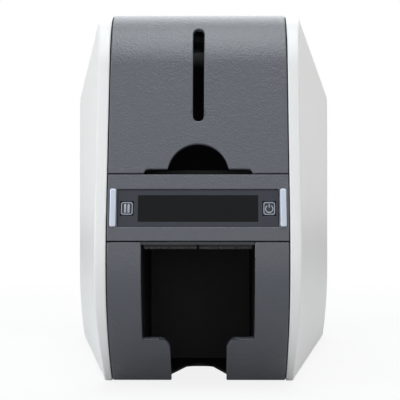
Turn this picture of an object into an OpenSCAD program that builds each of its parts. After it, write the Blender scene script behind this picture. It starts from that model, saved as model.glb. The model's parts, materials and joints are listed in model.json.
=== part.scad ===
// Desktop printer for plastic identity cards: card hopper behind the hinged
// front cover, control panel, output tray below, ribbon and print head under
// the top lid. X is the width, -Y the front, Z up, origin under the middle.

/* [Body] */
// Width over the side covers, at the rear
body_w = 196; // [190:1:206]
// Depth from the nose to the rear wall
body_d = 392; // [386:1:410]
// Height at the crown
body_h = 221; // [218:1:228]
// Gap under the base that the feet fill
ground_gap = 1.5; // [1:0.1:3]
// Wall of the white side covers
side_wall = 2.5; // [2:0.1:3.2]
// Wall of the dark covers along the middle
cover_wall = 2.4; // [1.8:0.1:3]
// Seam between neighbouring covers
seam = 0.6; // [0.4:0.1:1]

/* [Front outline] */
// Width of the dark covers
spine_w = 102.6; // [98:0.2:106]
// Width of the white rim beside them
rim_w = 6.5; // [5.5:0.1:8]
// Lean of the upper front from upright
lean = 19; // [16:0.5:21]
// Height of the foremost point
nose_z = 73; // [68:1:76]
// Radius above the foremost point
brow_r = 90; // [70:1:110]
// Radius where the front turns into the top
crown_r = 48; // [40:1:54]
// Radius below the foremost point
chin_r = 55; // [48:1:62]
// Angle at which the chin radius ends
chin_a = 40; // [34:1:44]
// Radius of the lower front down to the base
jaw_r = 150; // [130:1:170]
// Fall of the top towards the rear
top_fall = 1.5; // [0.5:0.1:2]
// Radius of the rear edges, seen from the side
rear_r = 9; // [6:1:12]

/* [Plan] */
// Depth at which the sides start to flare
flare_y = 46; // [40:1:56]
// Radius of the concave start of the flare
flare_r = 480; // [300:10:540]
// Radius of the rear corners, seen from above
corner_r = 18; // [14:1:24]
// Height over which the sides turn in at the bottom
tuck_h = 54; // [40:1:64]
// How far they turn in
tuck_in = 4; // [2:0.5:6]
// Slope of the shoulders from level
shoulder_a = 63; // [58:1:66]
// Depth at which a shoulder's upper edge starts
shoulder_y = 90; // [84:1:100]
// Distance of that edge outside the front's half-width, at its start
shoulder_out = 3.9; // [3:0.1:6]
// Distance of that edge inside the overall half-width, at the rear
shoulder_in = 9.9; // [8:0.1:14]
// Height of that edge below the crown, at its start
shoulder_drop = 3.6; // [2:0.1:6]
// Height that the shoulder loses towards the rear
shoulder_fall = 5.9; // [4:0.1:8]

/* [Hopper cover] */
// Height of the seam over the control panel
split_z = 124.2; // [122:0.1:126]
// Depth of the cover's hinge
cover_hinge_y = 120; // [116:1:124]
// Radius of the hinge barrel
barrel_r = 8.5; // [8:0.1:9.5]
// Radius of the hinge pins
pin_r = 2.5; // [2:0.1:3]
// Width of the card level slot
level_w = 6.3; // [5:0.1:8]
// Lower end of the card level slot
level_z0 = 154.4; // [150:0.2:158]
// Distance of its upper end below the crown
level_drop = 8.4; // [8:0.2:13]
// Radius of the thumb cut-out
thumb_r = 17.5; // [14:0.5:20]
// Width of the gap under the cover
feed_gap_w = 61.6; // [58:0.2:64]
// Height of the gap under the cover
feed_gap_h = 2.4; // [2:0.1:3]

/* [Control panel] */
// Height of the seam under the control panel
panel_z0 = 86; // [84:0.1:88]
// Gap between the glass and a trim bar
glass_gap = 0.75; // [0.5:0.05:1.5]
// Height of the glass, along its slope
glass_h = 22.4; // [20:0.2:24]
// Thickness of the glass
glass_t = 1.6; // [1.2:0.1:2]
// Depth of the glass under the panel's face
glass_sink = 0.9; // [0.6:0.1:1.5]
// Distance of the display's window from a key
lcd_gap = 2.6; // [2:0.1:4]
// Height of the display's window
lcd_h = 15.8; // [14:0.2:17]
// Width of a key
key_w = 7.2; // [6.4:0.1:7.6]
// Height of a key
key_h = 8; // [7:0.1:9]
// Distance of a key's middle from the end of the glass
key_edge = 5.4; // [4.8:0.1:6.2]
// Travel of a key
key_travel = 0.6; // [0.4:0.1:0.8]
// Width of a trim bar
trim_w = 3.5; // [3:0.1:4]
// Distance of a trim bar from the end of the panel
trim_edge = 1.45; // [1:0.05:2]
// How far a trim bar stands out
trim_out = 1.3; // [0.8:0.1:2]

/* [Output] */
// Width of the output opening
out_w = 64; // [60:0.5:66]
// Height of the step where the opening narrows
step_z = 28.9; // [26:0.1:32]
// Width between the jaws below the step
jaw_gap = 32.6; // [28:0.2:36]
// Radius of the jaws' inner corners
jaw_corner = 6; // [4:0.5:8]
// Depth of the tray's rear wall
tray_y = 142; // [141:1:146]
// Wall of the tray
tray_wall = 2; // [1.6:0.1:2.4]
// Depth at which the finger notch in the tray floor ends
notch_y = 110; // [90:1:116]
// Radius of the notch's inner corners
notch_r = 7; // [5:0.5:8]
// Width of the notch at its inner end
notch_w = 17; // [16:0.5:22]

/* [Hinges and frame] */
// Distance of the lid's hinge from the rear wall
lid_hinge_back = 18; // [16:1:22]
// Thickness of the frame plates
plate_t = 2; // [1.5:0.1:2.2]
// Gap between the dark covers and the frame plates
plate_gap = 0.9; // [0.7:0.1:1.1]
// Gap between the frame plates' edges and the side covers
edge_gap = 1.5; // [1:0.1:3]
// Thickness of the base
base_t = 3; // [2:0.1:4]
// Radius of the tie rods
rod_r = 4; // [3:0.1:5]
// Radius of the screw bosses in the side covers
boss_r = 5; // [4:0.1:6]
// Radius of a foot
foot_r = 8; // [6:0.5:10]

/* [Rear] */
// Height of the rear cover's lower edge
rear_z0 = 14; // [12:0.5:18]
// Distance of its upper edge below the crown
rear_drop = 31; // [28:1:40]
// Width of the vents
vent_w = 72; // [50:1:90]
// Height of a vent
vent_h = 2; // [1.5:0.1:3]
// Distance from vent to vent
vent_pitch = 5; // [4:0.1:6]
// Number of vents
vent_count = 10; // [6:1:11]
// Height of the sockets
socket_z = 46; // [40:1:60]
// Distance of the power inlet from the end of the rear cover
inlet_edge = 11.4; // [10:0.2:16]
// Radius of the power inlet
inlet_r = 6; // [5:0.1:7]
// Distance of the square data socket from the middle
usb_out = 30; // [27:1:36]
// Distance of the network socket from the middle
network_out = 8; // [0:1:10]
// Depth of the sockets
socket_d = 14; // [12:0.5:16]
// Length of the main board
board_l = 150; // [130:1:160]
// Height of the main board
board_h = 110; // [100:1:120]

/* [Card path] */
// Width of the cards
card_w = 54; // [54:0.1:54.4]
// Length of the cards
card_l = 85.6; // [85.6:0.1:86]
// Thickness of the cards
card_t = 0.8; // [0.76:0.01:0.9]
// Height of the hopper floor
hopper_z = 126.5; // [126:0.1:127]
// Depth of the hopper's rear wall
hopper_y = 131.5; // [131:0.5:133]
// Height of the hopper's side walls over its floor
hopper_h = 66; // [50:1:68]
// Wall of the hopper
hopper_wall = 3; // [2:0.1:3]
// Height of the rollers' nip
path_z = 114; // [112:0.5:115]
// Depth of the exit chute's front end
exit_y = 100; // [98:1:102]
// Depth of the feed rollers
feed_y = 165; // [163:1:167]
// Depth of the platen and the print head
platen_y = 214; // [212:1:216]
// Depth of the rear rollers
rear_y = 262; // [258:1:266]
// Radius of the feed and rear rollers
roller_r = 8; // [7:0.1:9]
// Radius of the platen
platen_r = 9; // [8:0.1:10]
// Radius of the idle rollers
pinch_r = 6; // [5:0.1:7]
// Radius of the steel shafts
shaft_r = 3; // [2.5:0.1:3.2]
// Radial play of a shaft or pin in its bush
play = 0.05; // [0.03:0.01:0.08]

/* [Ribbon] */
// Height of the spools' axes
spool_z = 152; // [150:1:154]
// Depth of the take-up spool
takeup_y = 168; // [167:1:170]
// Depth of the supply spool
supply_y = 260; // [258:1:262]
// Radius of the film on the supply spool
supply_r = 16; // [12:1:18]
// Radius of the film on the take-up spool
takeup_r = 12; // [10:1:14]
// Width of the film
film_w = 60; // [57:1:62]
// Module of the ribbon drive's gear teeth
gear_module = 1; // [0.9:0.1:1]
// Teeth on the spool gear
spool_teeth = 32; // [28:1:34]
// Teeth on the ribbon motor's pinion
pinion_teeth = 12; // [12:1:14]

/* [Hidden] */
$fn = 48;

eps = 0.01;
far = 600;
charcoal = "#3b3d42";
shell_white = "#eceae6";
black_plastic = "#17181a";
steel_grey = "#a9adb2";
rubber_grey = "#2c2d2f";

front_w = spine_w / 2 + seam + rim_w;
rim_x = spine_w / 2 + seam;
plate_x = spine_w / 2 + plate_gap;

// Side outline, as centres of its arcs: x is the depth, y the height.
brow_c = [brow_r, nose_z];
chin_c = [chin_r, nose_z];
chin_end = chin_c - chin_r * [cos(chin_a), sin(chin_a)];
jaw_c = chin_end + jaw_r * [cos(chin_a), sin(chin_a)];
jaw_a = asin((jaw_c.y - ground_gap) / jaw_r);
foot_y = jaw_c.x - jaw_r * cos(jaw_a);
brow_end = brow_c + brow_r * [-cos(lean), sin(lean)];
crown_cz = body_h - crown_r;
crown_start_z = crown_cz + crown_r * sin(lean);
crown_start_y = brow_end.x + (crown_start_z - brow_end.y) * tan(lean);
crown_c = [crown_start_y + crown_r * cos(lean), crown_cz];

function arc(c, r, a0, a1, n, first = 0) =
  [for (i = [first:n]) c + r * [cos(a0 + (a1 - a0) * i / n), sin(a0 + (a1 - a0) * i / n)]];

// Height of the top at a depth behind the crown.
function top_z(y) = crown_cz + crown_r / cos(top_fall) - (y - crown_c.x) * tan(top_fall);

// Depth of the front at a height.
function front_y(z) =
  z < chin_end.y ? jaw_c.x - sqrt(pow(jaw_r, 2) - pow(jaw_c.y - z, 2)) :
  z < nose_z ? chin_r - sqrt(pow(chin_r, 2) - pow(nose_z - z, 2)) :
  z < brow_end.y ? brow_r - sqrt(pow(brow_r, 2) - pow(z - nose_z, 2)) :
  z < crown_start_z ? brow_end.x + (z - brow_end.y) * tan(lean) :
  crown_c.x - sqrt(pow(crown_r, 2) - pow(min(z, body_h) - crown_cz, 2));

rear_top = [body_d - rear_r, top_z(body_d - rear_r) - rear_r / cos(top_fall)];
skirt_y = foot_y + 16;
rear_low = [body_d - rear_r, ground_gap + rear_r];

side_outline = concat(
  arc(jaw_c, jaw_r, 180 + jaw_a, 180 + chin_a, 10),
  arc(chin_c, chin_r, 180 + chin_a, 180, 12, 1),
  arc(brow_c, brow_r, 180, 180 - lean, 6, 1),
  arc(crown_c, crown_r, 180 - lean, 90 - top_fall, 18),
  arc(rear_top, rear_r, 90 - top_fall, 0, 6),
  arc(rear_low, rear_r, 0, -90, 6)
);

// Plan outline of a side: a straight front, a concave turn, the flare and the rear corner.
corner_c = [body_w / 2 - corner_r, body_d - corner_r];
to_corner = corner_c - [front_w, flare_y];
flare_a = atan(to_corner.x / to_corner.y) + asin(corner_r / norm(to_corner));
flare_run = flare_r * tan(flare_a / 2);
flare_c = [front_w + flare_r, flare_y - flare_run];
flare_end_w = front_w + flare_run * sin(flare_a);

// Upright outline of a side wall that turns in at the bottom.
tuck_r = (pow(tuck_h, 2) + pow(tuck_in, 2)) / (2 * tuck_in);
tuck_a = asin(tuck_h / tuck_r);

// Sloping shoulders, from a point on their upper edge near the crown.
shoulder_w0 = front_w + shoulder_out;
shoulder_run = body_d - rear_r - shoulder_y;
shoulder_yaw = atan((body_w / 2 - shoulder_in - shoulder_w0) / shoulder_run);
shoulder_pitch = -atan(shoulder_fall / shoulder_run);

// Rear cover: a plate between the rear corners, and a strip up to the lid.
rear_x = body_w / 2 - corner_r - seam;
rear_z1 = body_h - rear_drop;
rear_screws = [for (x = [-1, 1], z = [rear_z0 + 8, rear_z1 - 8]) [x * (rear_x - 8), z]];
screw_r = 1.6;
screw_l = 8;
screw_head = [3, 1.4];
inlet_x = inlet_edge - rear_x;
inlet_depth = 12;
inlet_flange = inlet_r + 1;
inlet_wall = 2.9;
inlet_pin_r = 1.1;
inlet_room = 1;

// Data sockets: place, shell and mouth of each, and the play in the rear cover.
usb_at = [-usb_out, socket_z];
usb_size = [12, 11];
usb_mouth = [8.6, 7.8];
usb_tongue = [5.6, 3.2];
network_at = [-network_out, socket_z + 1];
network_size = [16, 13];
network_mouth = [12, 8.4];
socket_play = [0.4, 0.4];
socket_floor = 1;
socket_board_x = usb_at.x - usb_size.x / 2 - 2;
socket_board_w = network_at.x + network_size.x / 2 + 2 - socket_board_x;
socket_board_z = socket_z - 14;

// Hinge axes lie a barrel's radius under the top.
lid_hinge_y = body_d - lid_hinge_back;
cover_hinge_z = cover_axis_z(cover_hinge_y);
lid_hinge_z = cover_axis_z(lid_hinge_y);
lid_y0 = cover_hinge_y + barrel_r + seam;
lid_y1 = lid_hinge_y + barrel_r + seam;
function cover_axis_z(y) = top_z(y) - barrel_r;

// Control panel: a plane through the front outline's chord over the glass.
panel_mid_z = (panel_z0 + split_z) / 2 - 0.6;
panel_lo_z = panel_mid_z - glass_h / 2;
panel_hi_z = panel_mid_z + glass_h / 2;
panel_tilt = atan((front_y(panel_hi_z) - front_y(panel_lo_z)) / glass_h);
panel_y = (front_y(panel_hi_z) + front_y(panel_lo_z)) / 2;
key_play = 0.25;
trim_x = spine_w / 2 - trim_edge - trim_w / 2;
glass_w = 2 * (trim_x - trim_w / 2 - glass_gap);
key_x = glass_w / 2 - key_edge;
lcd_w = 2 * (key_x - key_w / 2 - lcd_gap);
seat_t = 3;
collar = 1;
switch_w = 6;
board_side = 1.3;
lip_h = 1.6;
lip_z = panel_z0 - seam - lip_h;
lip_t = 0.8;
lip_play = 0.2;
bridge_d = 12;
brush_h = 1.8;
brush_gap = 1.6;
trim_seat = 0.6;
trim_r = 0.8;
board_gap = 6;
board_t = 1.6;
lug_d = 8;
lug_h = 10;
flange_d = 8;
panel_flange_d = 6;
slot_r = level_w / 2;
slot_top = body_h - level_drop;

frame_inset = side_wall + edge_gap;
base_top = ground_gap + base_t;
half_out = out_w / 2;
hopper_half = card_w / 2 + 0.6;
bore_r = shaft_r + play;
bush_r = shaft_r + 2;
lane_w = 4;
lane_gap = 1;
lane1 = plate_x + plate_t + lane_gap;
lane2 = lane1 + lane_w + lane_gap;
pulley_r = 6;
motor_pulley_r = 5;
belt_t = 1.2;
cassette_x = film_w / 2 + 5;
cassette_t = 2.5;
cassette_h = 24;
cassette_low = 11;
bar_r = 2.5;
spool_core_r = 8;
journal_r = 5;
film_t = 0.2;
motor_gap = 1.7;
motor_size = 42;
motor_l = 34;
spigot_r = 11;
motor_shaft_r = 2.5;
head_tip_z = path_z + card_t + 0.7;
head_l = card_w + 4;
head_d = 22;
head_h = 16;
fin_w = 3.5;
fin_count = 8;

// Roller axes, as depth and height.
chute_from = [feed_y - roller_r - 3, path_z - 2];
chute_to = [exit_y, panel_z0 + 6];
chute_a = atan((chute_from.y - chute_to.y) / (chute_from.x - chute_to.x));
pickup_r = 7;
pickup_rise = 0.5;
pickup_at = [98, hopper_z + pickup_rise - pickup_r];
exit_r = 6;
chute_t = 2;
exit_rise = 0.5;
exit_run = exit_r + 1;
exit_at = chute_to + exit_run * [cos(chute_a), sin(chute_a)]
  - (exit_r - exit_rise) * [-sin(chute_a), cos(chute_a)];
exit_w = card_w - 14;
feed_at = [feed_y, path_z - roller_r];
platen_at = [platen_y, path_z - platen_r];
rear_at = [rear_y, path_z - roller_r];
feed_pinch_at = [feed_y, path_z + card_t + pinch_r];
rear_pinch_at = [rear_y, path_z + card_t + pinch_r];
cleaning_at = [feed_y + 2 * pinch_r + 8, path_z + card_t + pinch_r];
motor_at = [platen_y, platen_at.y - motor_size - 4];
takeup_at = [takeup_y, spool_z];
supply_at = [supply_y, spool_z];
mesh_d = gear_module * (spool_teeth + pinion_teeth) / 2;
mesh_a = 210;
pinion_at = takeup_at + mesh_d * [cos(mesh_a), sin(mesh_a)];
shafts = [pickup_at, exit_at, feed_at, platen_at, rear_at, feed_pinch_at, rear_pinch_at, cleaning_at];
rods = [[44, 104], [tray_y + 18, 60], [body_d - 72, 40], [body_d - 72, body_h - 51]];
boss_back = 36;
bosses = [[100, body_h - 25], [100, 34], [body_d - boss_back, body_h - 35], [body_d - boss_back, 34]];

// Main board beside the left frame plate, on standoffs at its corners.
board_out = 4;
board_at = [body_d - 52 - board_l, 24];
standoff_r = 2.5;
standoffs = [for (y = [8, board_l - 8], z = [8, board_h - 8]) board_at + [y, z]];

// Openings that lighten the frame plates: place and size.
low_window = [board_at + [18, 0], [70, 26]];
rear_window = [[body_d - 102, 60], [60, 52]];
front_window = [[60, 150], [50, 34]];

// A shape drawn with the depth to the right and the height up, carried along X.
module along_x(x0, x1) {
  translate([x0, 0, 0]) rotate([90, 0, 90]) linear_extrude(x1 - x0) children();
}

// A shape drawn as seen from the front, carried along the depth.
module along_y(y0, y1) {
  translate([0, y1, 0]) rotate([90, 0, 0]) linear_extrude(y1 - y0) children();
}

module placed() {
  translate([0, -body_d / 2, 0]) children();
}

module both_sides() {
  children();
  mirror([1, 0, 0]) children();
}

// A cylinder along X at a depth and height.
module rod(at, r, x0, x1) {
  translate([x0, at.x, at.y]) rotate([0, 90, 0]) cylinder(r = r, h = x1 - x0);
}

module side_shape(inset = 0) {
  offset(delta = -inset) polygon(side_outline);
}

// The skin just inside the side outline.
module skin_shape(t) {
  difference() {
    side_shape();
    side_shape(t);
  }
}

module tuck_shape(inset) {
  translate([-inset, 0])
    polygon(concat([[-far, far], [-far, -far]], arc([-tuck_r, tuck_h], tuck_r, -tuck_a, 0, 7),
      [[tuck_in, tuck_h + tuck_in], [tuck_in, far]]));
}

module plan_shape(inset) {
  right = concat([[front_w, -far]], arc(flare_c, flare_r, 180, 180 - flare_a, 8),
    arc(corner_c, corner_r, -flare_a, 90, 10));
  left = [for (i = [len(right) - 1:-1:0]) [-right[i].x, right[i].y]];
  offset(delta = -inset) polygon(concat(right, left));
}

module shoulder_cut(inset) {
  translate([shoulder_w0, shoulder_y, body_h - shoulder_drop])
    rotate([0, 0, -shoulder_yaw]) rotate([shoulder_pitch, 0, 0]) rotate([0, shoulder_a, 0])
      translate([-far / 2, -far, -inset]) cube([far, 2 * far, far]);
}

// The right half of the whole form, or the same with its skin taken off.
module half_body(inset) {
  difference() {
    intersection() {
      along_x(0, body_w) side_shape(inset);
      linear_extrude(far) plan_shape(inset);
      union() {
        translate([front_w, flare_y, 0]) rotate([0, 0, -flare_a]) along_y(-far, far) tuck_shape(inset);
        translate([flare_end_w, 0, 0]) along_y(-far, far) tuck_shape(inset);
      }
    }
    shoulder_cut(inset);
  }
}

module side_cover() {
  difference() {
    intersection() {
      half_body(0);
      translate([rim_x, -1, 0]) cube([body_w, body_d + 2, far]);
    }
    half_body(side_wall);
    // Open underside, over the base.
    translate([0, 0, -1])
      linear_extrude(ground_gap + side_wall + 2) intersection() {
        plan_shape(side_wall + tuck_in);
        translate([0, foot_y + rear_r]) square([body_w, body_d - foot_y - 2 * rear_r]);
      }
    // Rear opening that the rear cover fills.
    translate([0, body_d - side_wall - 1, rear_z0 - seam])
      cube([rear_x + seam, side_wall + 2, rear_z1 - rear_z0 + 2 * seam]);
  }
  intersection() {
    for (at = bosses) difference() {
      rod(at, boss_r, plate_x + plate_t, body_w / 2);
      rod(at, screw_r, plate_x + plate_t - 1, plate_x + plate_t + boss_r + 3);
    }
    half_body(side_wall / 2);
  }
}

module side_cover_right() {
  color(shell_white) placed() side_cover();
}

module side_cover_left() {
  color(shell_white) placed() mirror([1, 0, 0]) side_cover();
}

// Flanges that stiffen a cover along both its sides.
module side_flanges(depth) {
  both_sides() along_x(spine_w / 2 - cover_wall, spine_w / 2) difference() {
    side_shape();
    side_shape(depth);
  }
}

module level_slot() {
  along_y(-1, cover_hinge_y - 2 * barrel_r) {
    translate([-slot_r, level_z0]) square([level_w, slot_top - level_z0 - slot_r]);
    translate([0, slot_top - slot_r]) circle(slot_r);
  }
}

module thumb_cut() {
  reach = front_y(split_z + thumb_r) + cover_wall * 3;
  along_y(-1, reach) translate([0, split_z - seam]) circle(thumb_r, $fn = 96);
}

module feed_gap() {
  along_y(-1, front_y(split_z) + cover_wall * 4)
    translate([-feed_gap_w / 2, split_z - 1]) square([feed_gap_w, feed_gap_h + 1]);
}

module hopper_cover() {
  axis = [cover_hinge_y, cover_hinge_z];
  color(charcoal) placed() difference() {
    union() {
      intersection() {
        union() {
          along_x(-spine_w / 2, spine_w / 2) skin_shape(cover_wall);
          side_flanges(cover_wall + flange_d);
        }
        translate([-far / 2, -1, split_z]) cube([far, cover_hinge_y + 1, far]);
      }
      rod(axis, barrel_r, -spine_w / 2, spine_w / 2);
    }
    both_sides() rod(axis, pin_r + play, spine_w / 2 - 8, spine_w / 2 + 1);
    level_slot();
    thumb_cut();
    feed_gap();
  }
}

module top_lid() {
  axis = [lid_hinge_y, lid_hinge_z];
  color(charcoal) placed() difference() {
    union() {
      intersection() {
        union() {
          along_x(-spine_w / 2, spine_w / 2) skin_shape(cover_wall);
          side_flanges(cover_wall + flange_d);
        }
        translate([-far / 2, lid_y0, lid_hinge_z - 4]) cube([far, lid_hinge_y - lid_y0, far]);
      }
      rod(axis, barrel_r, -spine_w / 2, spine_w / 2);
      // Front rail under the leading edge.
      translate([-spine_w / 2, lid_y0, top_z(lid_y0) - cover_wall - flange_d])
        cube([spine_w, cover_wall, flange_d]);
    }
    both_sides() rod(axis, pin_r + play, spine_w / 2 - 8, spine_w / 2 + 1);
  }
}

// Steel pins from the frame plates into the barrels.
module hinge_pins(axis) {
  both_sides() rod(axis, pin_r, spine_w / 2 - 7.5, plate_x + plate_t + 1.5);
  both_sides() rod(axis, pin_r + 1.5, plate_x + plate_t, plate_x + plate_t + 1.5);
}

module hopper_pins() {
  color(steel_grey) placed() hinge_pins([cover_hinge_y, cover_hinge_z]);
}

module lid_pins() {
  color(steel_grey) placed() hinge_pins([lid_hinge_y, lid_hinge_z]);
}

// The panel's own frame: x to the right, y up its slope, z out of its face.
module on_panel() {
  translate([0, panel_y, panel_mid_z]) rotate([90 - panel_tilt, 0, 0]) children();
}

module panel_block(w, h, z0, z1, r = 0) {
  translate([0, 0, z0]) linear_extrude(z1 - z0) {
    if (r > 0) offset(r) square([w - 2 * r, h - 2 * r], center = true);
    else square([w, h], center = true);
  }
}

module control_bezel() {
  color(charcoal) placed() difference() {
    union() {
      intersection() {
        union() {
          along_x(-spine_w / 2, spine_w / 2) skin_shape(cover_wall);
          side_flanges(cover_wall + panel_flange_d);
        }
        translate([-far / 2, -1, panel_z0]) cube([far, far / 4, split_z - seam - panel_z0]);
      }
      // Seat behind the glass.
      intersection() {
        on_panel() panel_block(glass_w + 6, glass_h + 6, -glass_sink - glass_t - seat_t, -cover_wall / 2);
        along_x(-spine_w / 2, spine_w / 2) side_shape(cover_wall / 2);
        translate([-far / 2, -1, panel_z0]) cube([far, far / 4, split_z - seam - panel_z0]);
      }
      // Lugs against the frame plates.
      both_sides() translate([spine_w / 2 - cover_wall, front_y(split_z) + 3, panel_z0 + 12])
        cube([plate_x - spine_w / 2 + cover_wall, lug_d, lug_h]);
    }
    on_panel() {
      panel_block(glass_w, glass_h, -glass_sink - glass_t, 20);
      panel_block(lcd_w + 4, lcd_h + 1, -20, 20);
      for (s = [-1, 1]) {
        translate([s * key_x, 0, 0]) panel_block(key_w + 2 * key_play, key_h + 2 * key_play, -20, 20);
        translate([s * trim_x, 0, 0]) panel_block(trim_w, glass_h, -trim_seat, 20, r = trim_r);
      }
    }
  }
}

module panel_glass() {
  color("#20232b") placed() on_panel() difference() {
    panel_block(glass_w - 0.2, glass_h - 0.2, -glass_sink - glass_t, -glass_sink);
    for (s = [-1, 1]) translate([s * key_x, 0, 0])
      panel_block(key_w + 2 * key_play, key_h + 2 * key_play, -20, 20);
  }
}

// A plunger whose face is flush with the glass and whose collar stays behind the seat.
module key(x) {
  seat = -glass_sink - glass_t - seat_t;
  color("#23262e") placed() on_panel() translate([x, 0, 0]) {
    panel_block(key_w, key_h, seat, -glass_sink);
    panel_block(key_w + 2 * collar, key_h + 2 * collar, seat - collar, seat);
  }
}

module pause_key() {
  key(-key_x);
}

module power_key() {
  key(key_x);
}

module display_module() {
  seat = -glass_sink - glass_t;
  color("#101216") placed() on_panel() {
    panel_block(lcd_w, lcd_h, seat - 4, seat);
    panel_block(lcd_w - 8, lcd_h + 2, seat - board_gap - collar, seat - 4);
  }
}

module control_board() {
  seat = -glass_sink - glass_t - board_gap - collar;
  color("#1f5a3a") placed() on_panel() {
    difference() {
      panel_block(spine_w - 2 * (cover_wall + board_side), glass_h, seat - board_t, seat);
      for (s = [-1, 1]) translate([s * key_x, 0, 0]) cylinder(r = 1, h = 99, center = true);
    }
    // Switches under the keys.
    for (s = [-1, 1]) translate([s * key_x, 0, 0])
      panel_block(switch_w, switch_w, seat, seat + board_gap - seat_t - key_travel - 0.2);
    // Standoffs up to the seat.
    for (s = [-1, 1], t = [-1, 1]) translate([s * (glass_w / 2 - 15), t * (glass_h / 2 - 1), 0])
      panel_block(3, 2, seat, seat + board_gap - 2);
  }
}

module trim_bar(s) {
  color("#b9bec6") placed() on_panel() translate([s * trim_x, 0, 0])
    panel_block(trim_w, glass_h, -trim_seat, trim_out, r = trim_r);
}

module trim_bar_left() {
  trim_bar(-1);
}

module trim_bar_right() {
  trim_bar(1);
}

// The opening as seen from the front, wide above the step and narrow between the jaws.
module out_shape() {
  translate([-half_out, step_z]) square([out_w, lip_z - step_z]);
  translate([-jaw_gap / 2, -1]) square([jaw_gap, step_z + 2]);
  both_sides() translate([jaw_gap / 2, step_z - jaw_corner]) difference() {
    translate([-eps, 0]) square([jaw_corner, jaw_corner + eps]);
    translate([jaw_corner, 0]) circle(jaw_corner);
  }
}

module front_bezel() {
  color(charcoal) placed() {
    difference() {
      intersection() {
        union() {
          along_x(-spine_w / 2, spine_w / 2) skin_shape(cover_wall);
          side_flanges(cover_wall + flange_d);
          // Bridge over the opening, behind the lip.
          translate([-half_out - 1, 0, lip_z]) cube([out_w + 2, bridge_d, lip_h]);
        }
        along_x(-spine_w / 2, spine_w / 2) side_shape();
        translate([-far / 2, -1, 0]) cube([far, skirt_y + 1, panel_z0 - seam]);
      }
      along_y(-1, far / 4) out_shape();
      // Rebate for the lip.
      along_x(-half_out, half_out) difference() {
        translate([-1, lip_z - 1]) square([20, lip_h + 2]);
        side_shape(lip_t);
      }
    }
    // Lugs against the frame plates.
    both_sides() translate([spine_w / 2 - cover_wall, front_y(step_z) + 8, step_z])
      cube([plate_x - spine_w / 2 + cover_wall, lug_d, lug_h]);
  }
}

module vent_slots() {
  for (i = [1:vent_count]) along_y(body_d - cover_wall - 1, body_d + 1)
    translate([-vent_w / 2, rear_z1 - 10 - vent_pitch * i]) square([vent_w, vent_h]);
}

module rear_cover() {
  color(charcoal) placed() {
    difference() {
      union() {
        translate([-rear_x, body_d - cover_wall, rear_z0]) cube([2 * rear_x, cover_wall, rear_z1 - rear_z0]);
        intersection() {
          along_x(-spine_w / 2, spine_w / 2) skin_shape(cover_wall);
          union() {
            translate([-far / 2, lid_y1, rear_z1 - 1]) cube([far, body_d, far]);
            translate([-far / 2, body_d - rear_r, 0]) cube([far, body_d, rear_z0 + 1]);
          }
        }
      }
      vent_slots();
      along_y(body_d - 2 * cover_wall, body_d + 1) {
        translate([inlet_x, socket_z]) circle(inlet_r);
        translate(usb_at) square(usb_size + socket_play, center = true);
        translate(network_at) square(network_size + socket_play, center = true);
      }
      for (at = rear_screws)
        translate([at.x, body_d + 1, at.y]) rotate([90, 0, 0]) cylinder(r = screw_r + 0.1, h = 10);
    }
    // Lugs against the rear edges of the frame plates.
    both_sides() for (z = [rear_window[0].y, rear_z1 - 40])
      translate([plate_x, body_d - frame_inset, z]) cube([plate_t, frame_inset - cover_wall, 12]);
  }
}

module case_screws() {
  color(steel_grey) placed()
    for (at = rear_screws) translate([at.x, body_d, at.y]) {
      rotate([90, 0, 0]) cylinder(r = screw_r, h = screw_l);
      rotate([-90, 0, 0]) cylinder(r = screw_head[0], h = screw_head[1]);
    }
}

module power_inlet() {
  color(black_plastic) placed() translate([inlet_x, body_d - 0.5, socket_z]) rotate([90, 0, 0]) {
    difference() {
      union() {
        cylinder(r = inlet_r - 0.1, h = cover_wall - 0.5);
        translate([-inlet_flange, -inlet_flange, cover_wall - 0.5])
          cube([2 * inlet_flange, 2 * inlet_flange, inlet_depth]);
      }
      translate([0, 0, -1]) cylinder(r = inlet_r - inlet_wall, h = inlet_depth - 1);
    }
    cylinder(r = inlet_pin_r, h = inlet_depth - 1);
  }
}

module data_sockets() {
  color("#b7babd") placed() {
    along_y(body_d - socket_d, body_d - 0.4) difference() {
      translate(usb_at) square(usb_size, center = true);
      translate(usb_at) square(usb_mouth, center = true);
    }
    along_y(body_d - socket_d, body_d - 0.4) difference() {
      translate(network_at) square(network_size, center = true);
      translate(network_at) square(network_mouth, center = true);
    }
    along_y(body_d - socket_d - socket_floor, body_d - socket_d) {
      translate(usb_at) square(usb_size, center = true);
      translate(network_at) square(network_size, center = true);
    }
    // The tongue inside the square data socket.
    along_y(body_d - socket_d, body_d - 4) translate(usb_at) square(usb_tongue, center = true);
    // Common board up to the rear cover.
    translate([socket_board_x, body_d - socket_d - socket_floor - board_t, socket_board_z])
      cube([socket_board_w, board_t, 26]);
    translate([socket_board_x, body_d - socket_d - socket_floor, socket_board_z])
      cube([socket_board_w, socket_d + socket_floor - cover_wall, 3]);
  }
}

// The finger notch seen from above, wide at the front and round at its inner end.
module notch_shape(gap = 0) {
  hull() {
    translate([-jaw_gap / 2 - gap, -1]) square([jaw_gap + 2 * gap, foot_y + 6]);
    for (s = [-1, 1]) translate([s * (notch_w / 2 - notch_r), notch_y - notch_r]) circle(notch_r + gap);
  }
}

module base() {
  color(black_plastic) placed() difference() {
    intersection() {
      linear_extrude(far) plan_shape(side_wall + tuck_in + seam);
      translate([-far / 2, skirt_y + seam, ground_gap])
        cube([far, body_d - rear_r - skirt_y - 2 * seam, base_t]);
    }
    linear_extrude(far) notch_shape(2);
  }
}

module feet() {
  color(rubber_grey) placed() for (s = [-1, 1]) {
    translate([s * (spine_w / 2 - foot_r / 2 - 1.3), skirt_y + foot_r + 6, 0])
      cylinder(r = foot_r, h = ground_gap);
    translate([s * (rear_x - foot_r - 1.4), body_d - 5 * foot_r, 0]) cylinder(r = foot_r, h = ground_gap);
  }
}

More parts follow.
